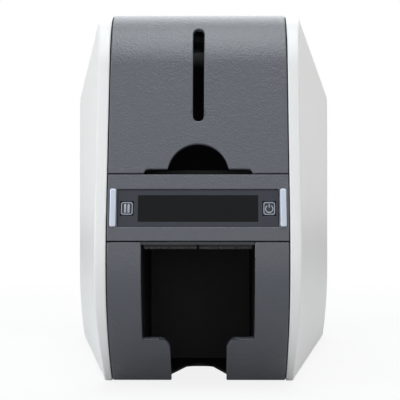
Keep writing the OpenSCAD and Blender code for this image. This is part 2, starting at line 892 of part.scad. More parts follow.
module tray_outline() {
  intersection() {
    side_shape(cover_wall + seam);
    translate([-1, base_top]) square([tray_y + 1, far]);
  }
}

module output_tray() {
  outer = half_out + tray_wall;
  color(black_plastic) placed() difference() {
    along_x(-outer, outer) intersection() {
      tray_outline();
      translate([-1, 0]) square([far, lip_z - seam]);
    }
    // Room for the cards.
    along_x(-half_out, half_out) translate([-1, base_top + tray_wall]) square([tray_y - tray_wall + 1, far]);
    linear_extrude(base_top + tray_wall + 1) notch_shape();
  }
}

// A gloss strip let into the bridge over the opening.
module exit_lip() {
  color("#4a4c52") placed() along_x(-half_out + lip_play, half_out - lip_play) intersection() {
    skin_shape(lip_t);
    translate([-1, lip_z]) square([20, lip_h]);
  }
}

// Two rows of bristles under the bridge.
module exit_brush() {
  y0 = front_y(panel_z0) + 1.6;
  color("#6b6a6c") placed() both_sides()
    translate([brush_gap / 2, y0, lip_z - brush_h]) cube([half_out - 1.6 - brush_gap / 2, 2.6, brush_h]);
}

module plate_shape() {
  difference() {
    union() {
      side_shape(frame_inset);
      translate([foot_y + 24, base_top]) square([body_d - 60 - foot_y, 20]);
    }
    for (at = shafts) translate(at) circle(bush_r);
    for (at = [takeup_at, supply_at, pinion_at]) translate(at) circle(bush_r);
    translate([cover_hinge_y, cover_hinge_z]) circle(pin_r);
    translate([lid_hinge_y, lid_hinge_z]) circle(pin_r);
    for (w = [low_window, rear_window, front_window]) translate(w[0]) square(w[1]);
  }
}

module frame_left() {
  color(steel_grey) placed() difference() {
    along_x(-plate_x - plate_t, -plate_x) plate_shape();
    // The plate stays clear of the power inlet in a narrow body too.
    translate([inlet_x, body_d - cover_wall, socket_z])
      cube(2 * [inlet_flange + inlet_room, inlet_depth + inlet_room, inlet_flange + inlet_room], center = true);
  }
}

module frame_right() {
  color(steel_grey) placed() along_x(plate_x, plate_x + plate_t) difference() {
    plate_shape();
    translate(motor_at) circle(spigot_r + 0.1);
  }
}

module tie_rods() {
  color(steel_grey) placed() for (at = rods) rod(at, rod_r, -plate_x, plate_x);
}

module hopper_bin() {
  y0 = front_y(split_z) + cover_wall + 26;
  color(black_plastic) placed() difference() {
    union() {
      translate([-plate_x, y0, hopper_z - hopper_wall])
        cube([2 * plate_x, hopper_y + hopper_wall - y0, hopper_wall]);
      both_sides() translate([hopper_half, y0 + 8, hopper_z])
        cube([hopper_wall, hopper_y + hopper_wall - y0 - 8, hopper_h]);
      translate([-hopper_half, hopper_y, hopper_z]) cube([2 * hopper_half, hopper_wall, hopper_h]);
    }
    // Window for the pick-up roller and gate for the last card.
    translate([-13, pickup_at.x - pickup_r - 1, hopper_z - hopper_wall - 1])
      cube([26, 2 * pickup_r + 2, hopper_wall + 2]);
    translate([-hopper_half, hopper_y - 1, hopper_z]) cube([2 * hopper_half, hopper_wall + 2, 1.6]);
  }
}

module exit_chute() {
  run = norm(chute_from - chute_to);
  color(black_plastic) placed() translate([0, chute_to.x, chute_to.y]) rotate([chute_a, 0, 0])
    difference() {
      translate([-plate_x, 0, -chute_t]) cube([2 * plate_x, run, chute_t]);
      // Window for the exit roller.
      translate([-exit_w / 2 - 1, exit_run - exit_r, -chute_t - 1]) cube([exit_w + 2, 2 * exit_r, chute_t + 2]);
    }
}

module shaft_bushes() {
  color("#8c6f3a") placed() {
    both_sides() for (at = shafts) difference() {
      rod(at, bush_r, plate_x, plate_x + plate_t);
      rod(at, bore_r, plate_x - 1, plate_x + plate_t + 1);
    }
    both_sides() for (at = [takeup_at, supply_at, pinion_at]) difference() {
      rod(at, bush_r, plate_x, plate_x + plate_t);
      rod(at, bore_r, plate_x - 1, plate_x + plate_t + 1);
    }
  }
}

// A rubber sleeve with the shaft's bore through it.
module sleeve(at, r, w) {
  difference() {
    rod(at, r, -w / 2, w / 2);
    rod(at, shaft_r, -w, w);
  }
}

module pulley(at, r, x0) {
  rod(at, r, x0, x0 + lane_w);
}

module driven_shaft(at, lanes) {
  color(steel_grey) placed() {
    rod(at, shaft_r, -plate_x - plate_t, lanes[len(lanes) - 1] + lane_w);
    for (x = lanes) pulley(at, pulley_r, x);
  }
}

module idle_roller(at, w) {
  rod(at, pinch_r, -w / 2, w / 2);
  rod(at, shaft_r, -plate_x - plate_t, plate_x + plate_t);
}

module pickup_roller() {
  color(rubber_grey) placed() sleeve(pickup_at, pickup_r, 24);
}

module pickup_shaft() {
  driven_shaft(pickup_at, [lane1]);
}

module exit_roller() {
  color(rubber_grey) placed() sleeve(exit_at, exit_r, exit_w);
}

module exit_shaft() {
  driven_shaft(exit_at, [lane1]);
}

module feed_roller() {
  color(rubber_grey) placed() sleeve(feed_at, roller_r, card_w);
}

module feed_shaft() {
  driven_shaft(feed_at, [lane1, lane2]);
}

module platen_roller() {
  color(rubber_grey) placed() sleeve(platen_at, platen_r, card_w + 2);
}

module platen_shaft() {
  driven_shaft(platen_at, [lane2]);
}

module rear_roller() {
  color(rubber_grey) placed() sleeve(rear_at, roller_r, card_w);
}

module rear_shaft() {
  driven_shaft(rear_at, [lane2]);
}

module feed_pinch() {
  color(steel_grey) placed() idle_roller(feed_pinch_at, card_w);
}

module rear_pinch() {
  color(steel_grey) placed() idle_roller(rear_pinch_at, card_w);
}

module cleaning_roller() {
  color("#3f6fb0") placed() idle_roller(cleaning_at, card_w);
}

module belt(points, x0) {
  color(rubber_grey) placed() along_x(x0 + 0.2, x0 + lane_w - 0.2) difference() {
    hull() for (p = points) translate(p[0]) circle(p[1] + 0.1 + belt_t);
    hull() for (p = points) translate(p[0]) circle(p[1] + 0.1);
  }
}

module front_belt() {
  belt([[feed_at, pulley_r], [pickup_at, pulley_r], [exit_at, pulley_r]], lane1);
}

module drive_belt() {
  belt([[feed_at, pulley_r], [rear_at, pulley_r], [motor_at, motor_pulley_r]], lane2);
}

module drive_motor() {
  color("#2b2c2e") placed() {
    translate([plate_x - motor_l, motor_at.x - motor_size / 2, motor_at.y - motor_size / 2])
      cube([motor_l, motor_size, motor_size]);
    difference() {
      rod(motor_at, spigot_r, plate_x, plate_x + plate_t);
      rod(motor_at, motor_shaft_r + play, plate_x - 1, plate_x + plate_t + 1);
    }
  }
}

module motor_pulley() {
  color(steel_grey) placed() {
    rod(motor_at, motor_shaft_r, plate_x + 0.2, lane2 + lane_w);
    pulley(motor_at, motor_pulley_r, lane2);
  }
}

// A spur gear's outline with straight-flanked teeth.
module gear_shape(teeth) {
  pitch_r = gear_module * teeth / 2;
  root_r = pitch_r - 1.25 * gear_module;
  tip_r = pitch_r + 0.9 * gear_module;
  step = 360 / teeth;
  circle(root_r, $fn = 4 * teeth);
  for (i = [0:teeth - 1]) rotate(i * step)
    polygon([
      [root_r - 0.2, -gear_module * 0.92], [pitch_r, -gear_module * 0.68], [tip_r, -gear_module * 0.36],
      [tip_r, gear_module * 0.36], [pitch_r, gear_module * 0.68], [root_r - 0.2, gear_module * 0.92]
    ]);
}

module takeup_gear() {
  color("#d9d6cc") placed() along_x(lane1, lane1 + lane_w) translate(takeup_at) rotate(mesh_a) difference() {
    gear_shape(spool_teeth);
    circle(shaft_r);
  }
}

module ribbon_pinion() {
  color("#d9d6cc") placed() {
    along_x(lane1, lane1 + lane_w) translate(pinion_at) rotate(mesh_a + 180 / pinion_teeth)
      gear_shape(pinion_teeth);
    rod(pinion_at, shaft_r, plate_x + 0.2, lane1);
  }
}

module ribbon_motor() {
  color("#2b2c2e") placed() rod(pinion_at, spigot_r, cassette_x + cassette_t + motor_gap, plate_x);
}

module cassette_frame() {
  y0 = takeup_at.x - takeup_r - 8;
  y1 = supply_at.x + supply_r + 8;
  color("#8d9097") placed() {
    difference() {
      both_sides() along_x(cassette_x, cassette_x + cassette_t)
        translate([y0, spool_z - cassette_low]) square([y1 - y0, cassette_h]);
      for (at = [takeup_at, supply_at]) rod(at, journal_r + play, -plate_x, plate_x);
    }
    for (y = [y0 + 3, y1 - 3]) rod([y, spool_z + 4], bar_r, -cassette_x - eps, cassette_x + eps);
    // Lugs on the frame plates.
    both_sides() for (y = [takeup_at.x + takeup_r + 10, y1 - 3])
      rod([y, spool_z + 4], bar_r, cassette_x, plate_x);
  }
}

// A core with its roll of film, journals in the cassette and a drive stub to the right.
module spool(at, r, x1) {
  rod(at, r, -film_w / 2, film_w / 2);
  rod(at, spool_core_r, -cassette_x + 0.4, cassette_x - 0.4);
  rod(at, journal_r, -cassette_x - cassette_t, cassette_x + cassette_t);
  rod(at, shaft_r, cassette_x, x1);
}

module supply_spool() {
  color("#6b2f52") placed() spool(supply_at, supply_r, plate_x + plate_t);
}

module takeup_spool() {
  color("#6b2f52") placed() spool(takeup_at, takeup_r, lane1 + lane_w);
}

// The film from spool to spool, under the print head.
module ribbon_film() {
  low = [path_z + card_t + film_t, film_t];
  a = [takeup_at.x + takeup_r + 0.4, spool_z];
  b = [platen_y - 9, low.x];
  c = [platen_y + 9, low.x];
  d = [supply_at.x - supply_r - 0.4, spool_z];
  color("#7a3560") placed() along_x(-film_w / 2, film_w / 2)
    polygon([a, b, c, d, d + [low.y, 0], c + [low.y, -low.y], b - [low.y, low.y], a - [low.y, 0]]);
}

module print_head() {
  color("#b4b7ba") placed() {
    difference() {
      translate([-head_l / 2, platen_y - head_d / 2, head_tip_z + 4]) cube([head_l, head_d, head_h]);
      for (i = [0:fin_count - 1]) translate([2 * fin_w * i - head_l / 2 + 4, platen_y - head_d, head_tip_z + 10])
        cube([fin_w, 2 * head_d, head_h]);
    }
    along_x(-head_l / 2, head_l / 2)
      polygon([
        [platen_y - 1, head_tip_z], [platen_y + 1, head_tip_z],
        [platen_y + 6, head_tip_z + 4], [platen_y - 6, head_tip_z + 4]
      ]);
  }
}

module head_carrier() {
  half = head_l / 2 + 2;
  z0 = head_tip_z + 4 + head_h;
  color("#4b4e54") placed() intersection() {
    along_x(-half, half) side_shape(cover_wall);
    difference() {
      translate([-half, platen_y - 14, z0]) cube([2 * half, 26, far]);
      translate([2 - half, platen_y - 15, z0 + 2]) cube([2 * half - 4, 28, top_z(platen_y) - cover_wall - z0 - 5]);
    }
  }
}

module main_board() {
  x = plate_x + plate_t + board_out;
  chip = x + board_t;
  color("#1f5a3a") placed() mirror([1, 0, 0]) {
    translate([x, board_at.x, board_at.y]) cube([board_t, board_l, board_h]);
    for (at = standoffs) rod(at, standoff_r, x - board_out, x);
    translate([chip, board_at.x + 24, board_at.y + 36]) cube([3, 26, 26]);
    translate([chip, board_at.x + 70, board_at.y + 16]) cube([2, 18, 18]);
    translate([chip, board_at.x + board_l - 10, board_at.y + 66]) cube([8, 8, 30]);
    for (i = [0:2]) rod(board_at + [board_l - 40, 26 + 16 * i], 5, chip, chip + 9);
  }
}

side_cover_left();
side_cover_right();
hopper_cover();
top_lid();
control_bezel();
front_bezel();
rear_cover();
base();
output_tray();
panel_glass();
display_module();
control_board();
pause_key();
power_key();
trim_bar_left();
trim_bar_right();
exit_lip();
exit_brush();
frame_left();
frame_right();
tie_rods();
hopper_pins();
lid_pins();
hopper_bin();
exit_chute();
shaft_bushes();
pickup_roller();
pickup_shaft();
exit_roller();
exit_shaft();
feed_roller();
feed_shaft();
platen_roller();
platen_shaft();
rear_roller();
rear_shaft();
feed_pinch();
rear_pinch();
cleaning_roller();
cassette_frame();
supply_spool();
takeup_spool();
ribbon_film();
takeup_gear();
ribbon_pinion();
ribbon_motor();
print_head();
head_carrier();
drive_motor();
motor_pulley();
drive_belt();
front_belt();
main_board();
power_inlet();
data_sockets();
feet();
case_screws();
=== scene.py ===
"""The dressed card printer: shells, covers, panel, tray and mechanism, with looks and stage."""

import json
import math

import bmesh
import bpy
import numpy as np
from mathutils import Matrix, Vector

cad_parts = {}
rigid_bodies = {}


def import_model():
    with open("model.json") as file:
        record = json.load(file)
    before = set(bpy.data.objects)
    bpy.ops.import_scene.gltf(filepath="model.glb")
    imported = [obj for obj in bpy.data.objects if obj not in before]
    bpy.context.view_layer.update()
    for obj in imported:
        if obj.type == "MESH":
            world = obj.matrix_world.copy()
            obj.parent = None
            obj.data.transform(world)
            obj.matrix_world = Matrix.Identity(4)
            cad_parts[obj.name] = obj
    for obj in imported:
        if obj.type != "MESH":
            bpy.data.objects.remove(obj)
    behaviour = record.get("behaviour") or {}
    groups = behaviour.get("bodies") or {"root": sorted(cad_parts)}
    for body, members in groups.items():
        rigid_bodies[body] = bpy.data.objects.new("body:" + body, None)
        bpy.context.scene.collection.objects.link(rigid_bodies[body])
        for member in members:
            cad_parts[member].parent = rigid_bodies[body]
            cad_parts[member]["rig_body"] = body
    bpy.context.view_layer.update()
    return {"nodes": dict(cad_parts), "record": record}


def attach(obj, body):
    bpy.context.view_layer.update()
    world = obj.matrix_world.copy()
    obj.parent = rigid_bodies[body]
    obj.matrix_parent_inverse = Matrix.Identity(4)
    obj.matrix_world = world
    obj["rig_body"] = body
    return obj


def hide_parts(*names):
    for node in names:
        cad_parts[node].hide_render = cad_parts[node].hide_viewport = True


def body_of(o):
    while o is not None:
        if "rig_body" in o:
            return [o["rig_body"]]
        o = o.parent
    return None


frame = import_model()

# Sizes in millimetres, angles in degrees. Depth runs from 0 at the foremost point to the rear wall.
MM = 0.001
BODY_W, BODY_D, BODY_H = 196.0, 392.0, 221.0
GAP, SIDE_WALL, COVER_WALL, SEAM = 1.5, 2.5, 2.4, 0.6
# Half-widths of the dark covers and of the white rim's two edges.
SPINE = 51.3
RIM_IN, RIM_OUT = SPINE + SEAM, SPINE + SEAM + 6.5
# The front: from the jaws over chin, nose and brow up the leaning face to the crown.
LEAN, TOP_FALL = 19.0, 1.5
NOSE_Z, BROW_R, CROWN_R = 73.0, 90.0, 48.0
CHIN_R, CHIN_A, JAW_R, REAR_R = 55.0, 40.0, 150.0, 9.0
# The flare of the sides, their rear corners, their tuck at the bottom and their shoulders.
FLARE_Y, FLARE_R, CORNER_R = 46.0, 480.0, 18.0
TUCK_H, TUCK_IN = 54.0, 4.0
SHOULDER_A, SHOULDER_Y, SHOULDER_DROP, SHOULDER_FALL = 63.0, 90.0, 3.6, 5.9
SHOULDER_W0, SHOULDER_W1 = RIM_OUT + 3.9, BODY_W / 2 - 9.9
# Heights between which the rear is open, and the underside's margins at its opening.
REAR_OPEN_TOP, REAR_OPEN_LOW, UNDER_MARGIN = 190.6, 13.4, 9.0
# Seams of the dark covers, their hinges, and how far they fold down inside the side covers.
SPLIT_Z, PANEL_Z0 = 124.2, 86.0
COVER_HINGE_Y, LID_HINGE_Y, BARREL_R = 120.0, 374.0, 8.5
COVER_FLANGE, PANEL_FLANGE = 8.0, 6.0
# Openings of the hopper cover.
SLOT_R, SLOT_LOW, SLOT_HIGH = 3.15, 154.4, 210.4
THUMB_R, FEED_GAP_H, FEED_GAP_HALF = 17.5, 2.4, 30.8
# Output: half-widths of the opening over and under its step, and the lip over it.
OUT_HALF, STEP_Z, JAW_HALF, JAW_CORNER = 32.0, 28.9, 16.3, 6.0
LIP_H, LIP_T = 1.6, 0.8
LIP_Z = PANEL_Z0 - SEAM - LIP_H
# Control panel.
GLASS_W, GLASS_H, GLASS_T, GLASS_SINK, GLASS_PLAY = 91.2, 22.4, 1.6, 0.9, 0.15
LCD_W, LCD_H, LCD_R = 68.0, 15.8, 0.7
KEY_W, KEY_H, KEY_X, KEY_R, KEY_PLAY = 7.2, 8.0, 40.2, 1.5, 0.25
TRIM_W, TRIM_X, TRIM_R, TRIM_OUT = 3.5, 48.1, 0.8, 1.3
PRINT_LIFT = 0.06
# Base, whose front lies BASE_FRONT behind the foot's corner, with its notch under the output.
BASE_FRONT, BASE_REAR, BASE_TOP, BASE_INSET = 16.6, 382.4, 4.5, 7.1
NOTCH_HALF, NOTCH_END, NOTCH_R = 18.3, 145.0, 7.0


def row(x, depth, z):
    """Points in the shared frame, in metres: (x, depth - half the body's depth, z)."""
    x, depth, z = np.broadcast_arrays(x, depth, z)
    return np.stack([x, depth - BODY_D / 2, z], -1).astype(float) * MM


# ---------------------------------------------------------------- side outline


def arc(centre, radius, start, end, count):
    """centre + radius (cos a, sin a), for a from start to end in degrees."""
    a = np.radians(np.linspace(start, end, count))
    return np.asarray(centre) + radius * np.stack([np.cos(a), np.sin(a)], -1)


def top_height(depth):
    """Height of the top behind the crown: the crown circle's tangent, falling at TOP_FALL."""
    fall = math.radians(TOP_FALL)
    return CROWN_C[1] + CROWN_R / math.cos(fall) - (depth - CROWN_C[0]) * math.tan(fall)


chin_a, lean = math.radians(CHIN_A), math.radians(LEAN)
CHIN_END = np.array([CHIN_R - CHIN_R * math.cos(chin_a), NOSE_Z - CHIN_R * math.sin(chin_a)])
JAW_C = CHIN_END + JAW_R * np.array([math.cos(chin_a), math.sin(chin_a)])
JAW_A = math.degrees(math.asin((JAW_C[1] - GAP) / JAW_R))
FOOT_Y = JAW_C[0] - JAW_R * math.cos(math.radians(JAW_A))
BROW_END = np.array([BROW_R - BROW_R * math.cos(lean), NOSE_Z + BROW_R * math.sin(lean)])
crown_z = BODY_H - CROWN_R + CROWN_R * math.sin(lean)
crown_y = BROW_END[0] + (crown_z - BROW_END[1]) * math.tan(lean)
CROWN_C = np.array([crown_y + CROWN_R * math.cos(lean), BODY_H - CROWN_R])
REAR_TOP = np.array(
    [BODY_D - REAR_R, top_height(BODY_D - REAR_R) - REAR_R / math.cos(math.radians(TOP_FALL))]
)
REAR_LOW = np.array([BODY_D - REAR_R, GAP + REAR_R])
OUTLINE = np.concatenate(
    [
        arc(JAW_C, JAW_R, 180 + JAW_A, 180 + CHIN_A, 60),
        arc((CHIN_R, NOSE_Z), CHIN_R, 180 + CHIN_A, 180, 60)[1:],
        arc((BROW_R, NOSE_Z), BROW_R, 180, 180 - LEAN, 40)[1:],
        arc(CROWN_C, CROWN_R, 180 - LEAN, 90 - TOP_FALL, 70),
        arc(REAR_TOP, REAR_R, 90 - TOP_FALL, 0, 30),
        arc(REAR_LOW, REAR_R, 0, -90, 30),
        [[FOOT_Y, GAP]],
    ]
)


class Path:
    """A polyline in the depth-height plane, read by its length, with its normal to the left."""

    def __init__(self, points):
        self.p = np.asarray(points, float)
        step = np.diff(self.p, axis=0)
        self.s = np.concatenate([[0.0], np.cumsum(np.hypot(*step.T))])
        self.mid = (self.s[1:] + self.s[:-1]) / 2
        self.t = step / np.hypot(*step.T)[:, None]

    def at(self, s):
        """(depth, height) at length s."""
        return np.stack([np.interp(s, self.s, self.p[:, k]) for k in (0, 1)], -1)

    def normal(self, s):
        """The tangent (ty, tz) at length s, turned to (-tz, ty)."""
        t = np.stack([np.interp(s, self.mid, self.t[:, k]) for k in (0, 1)], -1)
        t = t / np.linalg.norm(t, axis=-1, keepdims=True)
        return np.stack([-t[..., 1], t[..., 0]], -1)

    def s_of_height(self, z):
        """Length at which the front, rising towards the crown, reaches height z."""
        top = int(np.argmax(self.p[:, 1]))
        return np.interp(z, self.p[: top + 1, 1], self.s[: top + 1])

    def s_of_depth(self, depth):
        """Length at which the top, behind the crown, reaches a depth."""
        top = int(np.argmax(self.p[:, 1]))
        end = top + int(np.argmax(self.p[top:, 0]))
        return np.interp(depth, self.p[top : end + 1, 0], self.s[top : end + 1])


side = Path(OUTLINE)


# ---------------------------------------------------------------- mesh helpers


FINE_WELD, CAD_WELD, SHELL_WELD = 1e-6, 2e-6, 1e-5


def grid_faces(rows, columns, wrap=False, keep=None):
    """Quads between neighbouring rows and columns; wrap joins the last column to the first."""
    j = np.arange(columns if wrap else columns - 1)
    i = np.arange(rows - 1)[:, None]
    a, b = i * columns + j, i * columns + (j + 1) % columns
    quads = np.stack([a, b, b + columns, a + columns], -1)
    return quads[keep] if keep is not None else quads.reshape(-1, 4)


def mesh_object(name, points, faces, flip=False):
    """An object at the origin from points (n, 3) in metres and a list of face arrays."""
    lists = [f[::-1] if flip else f for block in faces for f in np.asarray(block).tolist()]
    mesh = bpy.data.meshes.new(name)
    mesh.from_pydata(np.asarray(points).reshape(-1, 3).tolist(), [], lists)
    mesh.validate()
    mesh.shade_smooth()
    thing = bpy.data.objects.new(name, mesh)
    bpy.context.scene.collection.objects.link(thing)
    return thing


def weld(thing, distance):
    """Joins vertices closer than a distance in metres."""
    w = thing.modifiers.new("weld", "WELD")
    w.merge_threshold = distance


def thicken(thing, wall):
    """Gives a surface a wall in millimetres, inwards from its outer face."""
    m = thing.modifiers.new("wall", "SOLIDIFY")
    m.thickness, m.offset = wall * MM, -1
    m.use_even_offset = False


def soften(thing, width, segments=3, angle=35):
    """A small round on every edge sharper than an angle in degrees."""
    b = thing.modifiers.new("edges", "BEVEL")
    b.width, b.segments, b.limit_method = width * MM, segments, "ANGLE"
    b.angle_limit, b.harden_normals, b.use_clamp_overlap = math.radians(angle), True, False
    b.miter_outer = "MITER_ARC"


def smoothed_copy(node, name, width=0.0, angle=30):
    """A CAD node's mesh as a new object, welded, with smooth curves and rounded edges."""
    source = frame["nodes"][node]
    mesh = source.data.copy()
    mesh.name = name
    thing = bpy.data.objects.new(name, mesh)
    bpy.context.scene.collection.objects.link(thing)
    mesh.materials.clear()
    merged = bmesh.new()
    merged.from_mesh(mesh)
    bmesh.ops.remove_doubles(merged, verts=merged.verts, dist=CAD_WELD)
    merged.to_mesh(mesh)
    merged.free()
    mesh.shade_smooth()
    mesh.set_sharp_from_angle(angle=math.radians(angle))
    if width:
        soften(thing, width, 2, angle)
        even = thing.modifiers.new("flat faces", "WEIGHTED_NORMAL")
        even.weight, even.keep_sharp = 100, False
    return thing


def steps(*knots):
    """Values from knot to knot: steps(a, 4, b, 2, c) has 4 equal steps from a to b and 2 to c."""
    values = [np.array([knots[0]], float)]
    for start, count, end in zip(knots[0:-1:2], knots[1::2], knots[2::2]):
        values.append(np.linspace(start, end, count + 1)[1:])
    return np.concatenate(values)


# ---------------------------------------------------------------- looks


def node_group(name, inputs, outputs):
    """An empty node group with named sockets: (tree, node that gives, node that takes)."""
    tree = bpy.data.node_groups.new(name, "ShaderNodeTree")
    for in_out, sockets in (("INPUT", inputs), ("OUTPUT", outputs)):
        for label, kind, *default in sockets:
            socket_type = "NodeSocket" + kind
            s = tree.interface.new_socket(name=label, in_out=in_out, socket_type=socket_type)
            if default:
                s.default_value = default[0]
    return tree, tree.nodes.new("NodeGroupInput"), tree.nodes.new("NodeGroupOutput")


def wire(tree, source, target, output=0, entry=0):
    """Links a source's output to a target's input, each given by place or name."""
    tree.links.new(source.outputs[output], target.inputs[entry])
    return target


def maths(tree, operation, factor=None, addend=None):
    """A Math node with an operation, and its second and third numbers where they are fixed."""
    m = tree.nodes.new("ShaderNodeMath")
    m.operation = operation
    for entry, number in ((1, factor), (2, addend)):
        if number is not None:
            m.inputs[entry].default_value = number
    return m


def noise_texture(tree, detail):
    """A Noise Texture node with its detail."""
    noise = tree.nodes.new("ShaderNodeTexNoise")
    noise.inputs["Detail"].default_value = detail
    return noise


def bump_node(tree, distance):
    """A Bump node with its height in metres."""
    bump = tree.nodes.new("ShaderNodeBump")
    bump.inputs["Distance"].default_value = distance
    return bump


def make_grain():
    """Pebbled mould grain: distance to Voronoi cell centres, plus coarser noise, as a bump."""
    tree, give, take = node_group(
        "Mould grain",
        [("Vector", "Vector"), ("Scale", "Float", 900.0), ("Depth", "Float", 0.2)],
        [("Normal", "Vector")],
    )
    pebbles = tree.nodes.new("ShaderNodeTexVoronoi")
    pebbles.feature = "SMOOTH_F1"
    noise = noise_texture(tree, 3.0)
    coarser = maths(tree, "MULTIPLY", 0.35)
    total = maths(tree, "ADD")
    bump = bump_node(tree, 0.0004)
    for texture in (pebbles, noise):
        wire(tree, give, texture, "Vector", "Vector")
    wire(tree, give, pebbles, "Scale", "Scale")
    wire(tree, give, coarser, "Scale")
    wire(tree, coarser, noise, 0, "Scale")
    wire(tree, pebbles, total, "Distance", 0)
    wire(tree, noise, total, 0, 1)
    wire(tree, total, bump, 0, "Height")
    wire(tree, give, bump, "Depth", "Strength")
    wire(tree, bump, take, "Normal", "Normal")
    return tree


def make_handling():
    """Faint handling marks: Amount times (noise - 0.5), added to the roughness and the value."""
    tree, give, take = node_group(
        "Handling",
        [
            ("Vector", "Vector"),
            ("Color", "Color"),
            ("Roughness", "Float", 0.5),
            ("Amount", "Float", 0.06),
        ],
        [("Color", "Color"), ("Roughness", "Float")],
    )
    noise = noise_texture(tree, 5.0)
    noise.inputs["Scale"].default_value = 22.0
    centred = maths(tree, "SUBTRACT", 0.5)
    shift = maths(tree, "MULTIPLY_ADD")
    value = maths(tree, "MULTIPLY_ADD", addend=1.0)
    tint = tree.nodes.new("ShaderNodeHueSaturation")
    wire(tree, give, noise, "Vector", "Vector")
    wire(tree, noise, centred)
    for m in (shift, value):
        wire(tree, centred, m)
        wire(tree, give, m, "Amount", 1)
    wire(tree, give, shift, "Roughness", 2)
    wire(tree, give, tint, "Color", "Color")
    wire(tree, value, tint, 0, "Value")
    wire(tree, tint, take, "Color", "Color")
    wire(tree, shift, take, 0, "Roughness")
    return tree


def make_brushed():
    """Fine lines along X: noise drawn out along it, as a bump and a little on the roughness."""
    tree, give, take = node_group(
        "Brushed lines",
        [
            ("Vector", "Vector"),
            ("Scale", "Float", 300.0),
            ("Depth", "Float", 0.1),
            ("Roughness", "Float", 0.3),
        ],
        [("Normal", "Vector"), ("Roughness", "Float")],
    )
    squeeze = tree.nodes.new("ShaderNodeMapping")
    squeeze.inputs["Scale"].default_value = (0.03, 1.0, 1.0)
    noise = noise_texture(tree, 4.0)
    spread = maths(tree, "MULTIPLY_ADD", 0.12)
    bump = bump_node(tree, 0.0002)
    wire(tree, give, squeeze, "Vector", "Vector")
    wire(tree, squeeze, noise, 0, "Vector")
    wire(tree, give, noise, "Scale", "Scale")
    wire(tree, noise, spread)
    wire(tree, give, spread, "Roughness", 2)
    wire(tree, noise, bump, 0, "Height")
    wire(tree, give, bump, "Depth", "Strength")
    wire(tree, bump, take, "Normal", "Normal")
    wire(tree, spread, take, 0, "Roughness")
    return tree


GRAIN, HANDLING, BRUSHED = make_grain(), make_handling(), make_brushed()


def shade(r, g, b):
    """A linear colour from 0-255 display values: ((c + 0.055) / 1.055) ** 2.4 above the toe."""
    c = np.array([r, g, b]) / 255
    lin = np.where(c > 0.04045, ((c + 0.055) / 1.055) ** 2.4, c / 12.92)
    return (*(float(v) for v in lin), 1.0)


def new_material(name):
    """A material with nodes: (material, its tree, its shader, its Object coordinates)."""
    m = bpy.data.materials.new(name)
    m.use_nodes = True
    tree = m.node_tree
    return m, tree, tree.nodes["Principled BSDF"], tree.nodes.new("ShaderNodeTexCoord")


def placed_group(tree, place, group, **values):
    """A node group in a material, fed with Object coordinates, with its named values."""
    node = tree.nodes.new("ShaderNodeGroup")
    node.node_tree = group
    for label, value in values.items():
        node.inputs[label].default_value = value
    wire(tree, place, node, "Object", "Vector")
    return node


def plastic(
    name, colour, rough, grain=(900.0, 0.15), amount=0.06, coat=0.0, metallic=0.0, specular=0.5
):
    """Moulded or painted finish: handling marks over a base colour, with mould grain as a bump."""
    m, tree, shader, place = new_material(name)
    marks = placed_group(tree, place, HANDLING, Color=colour, Roughness=rough, Amount=amount)
    wire(tree, marks, shader, "Color", "Base Color")
    wire(tree, marks, shader, "Roughness", "Roughness")
    shader.inputs["Metallic"].default_value = metallic
    shader.inputs["Specular IOR Level"].default_value = specular
    shader.inputs["Coat Weight"].default_value = coat
    if coat:
        shader.inputs["Coat Roughness"].default_value = 0.06
    if grain:
        pebble = placed_group(tree, place, GRAIN, Scale=grain[0], Depth=grain[1])
        wire(tree, pebble, shader, "Normal", "Normal")
    return m


def metal(name, colour, rough, lines=(300.0, 0.1)):
    """Bare metal with fine lines along X."""
    m, tree, shader, place = new_material(name)
    shader.inputs["Base Color"].default_value = colour
    shader.inputs["Metallic"].default_value = 1.0
    brushed = placed_group(tree, place, BRUSHED, Scale=lines[0], Depth=lines[1], Roughness=rough)
    wire(tree, brushed, shader, "Roughness", "Roughness")
    wire(tree, brushed, shader, "Normal", "Normal")
    return m


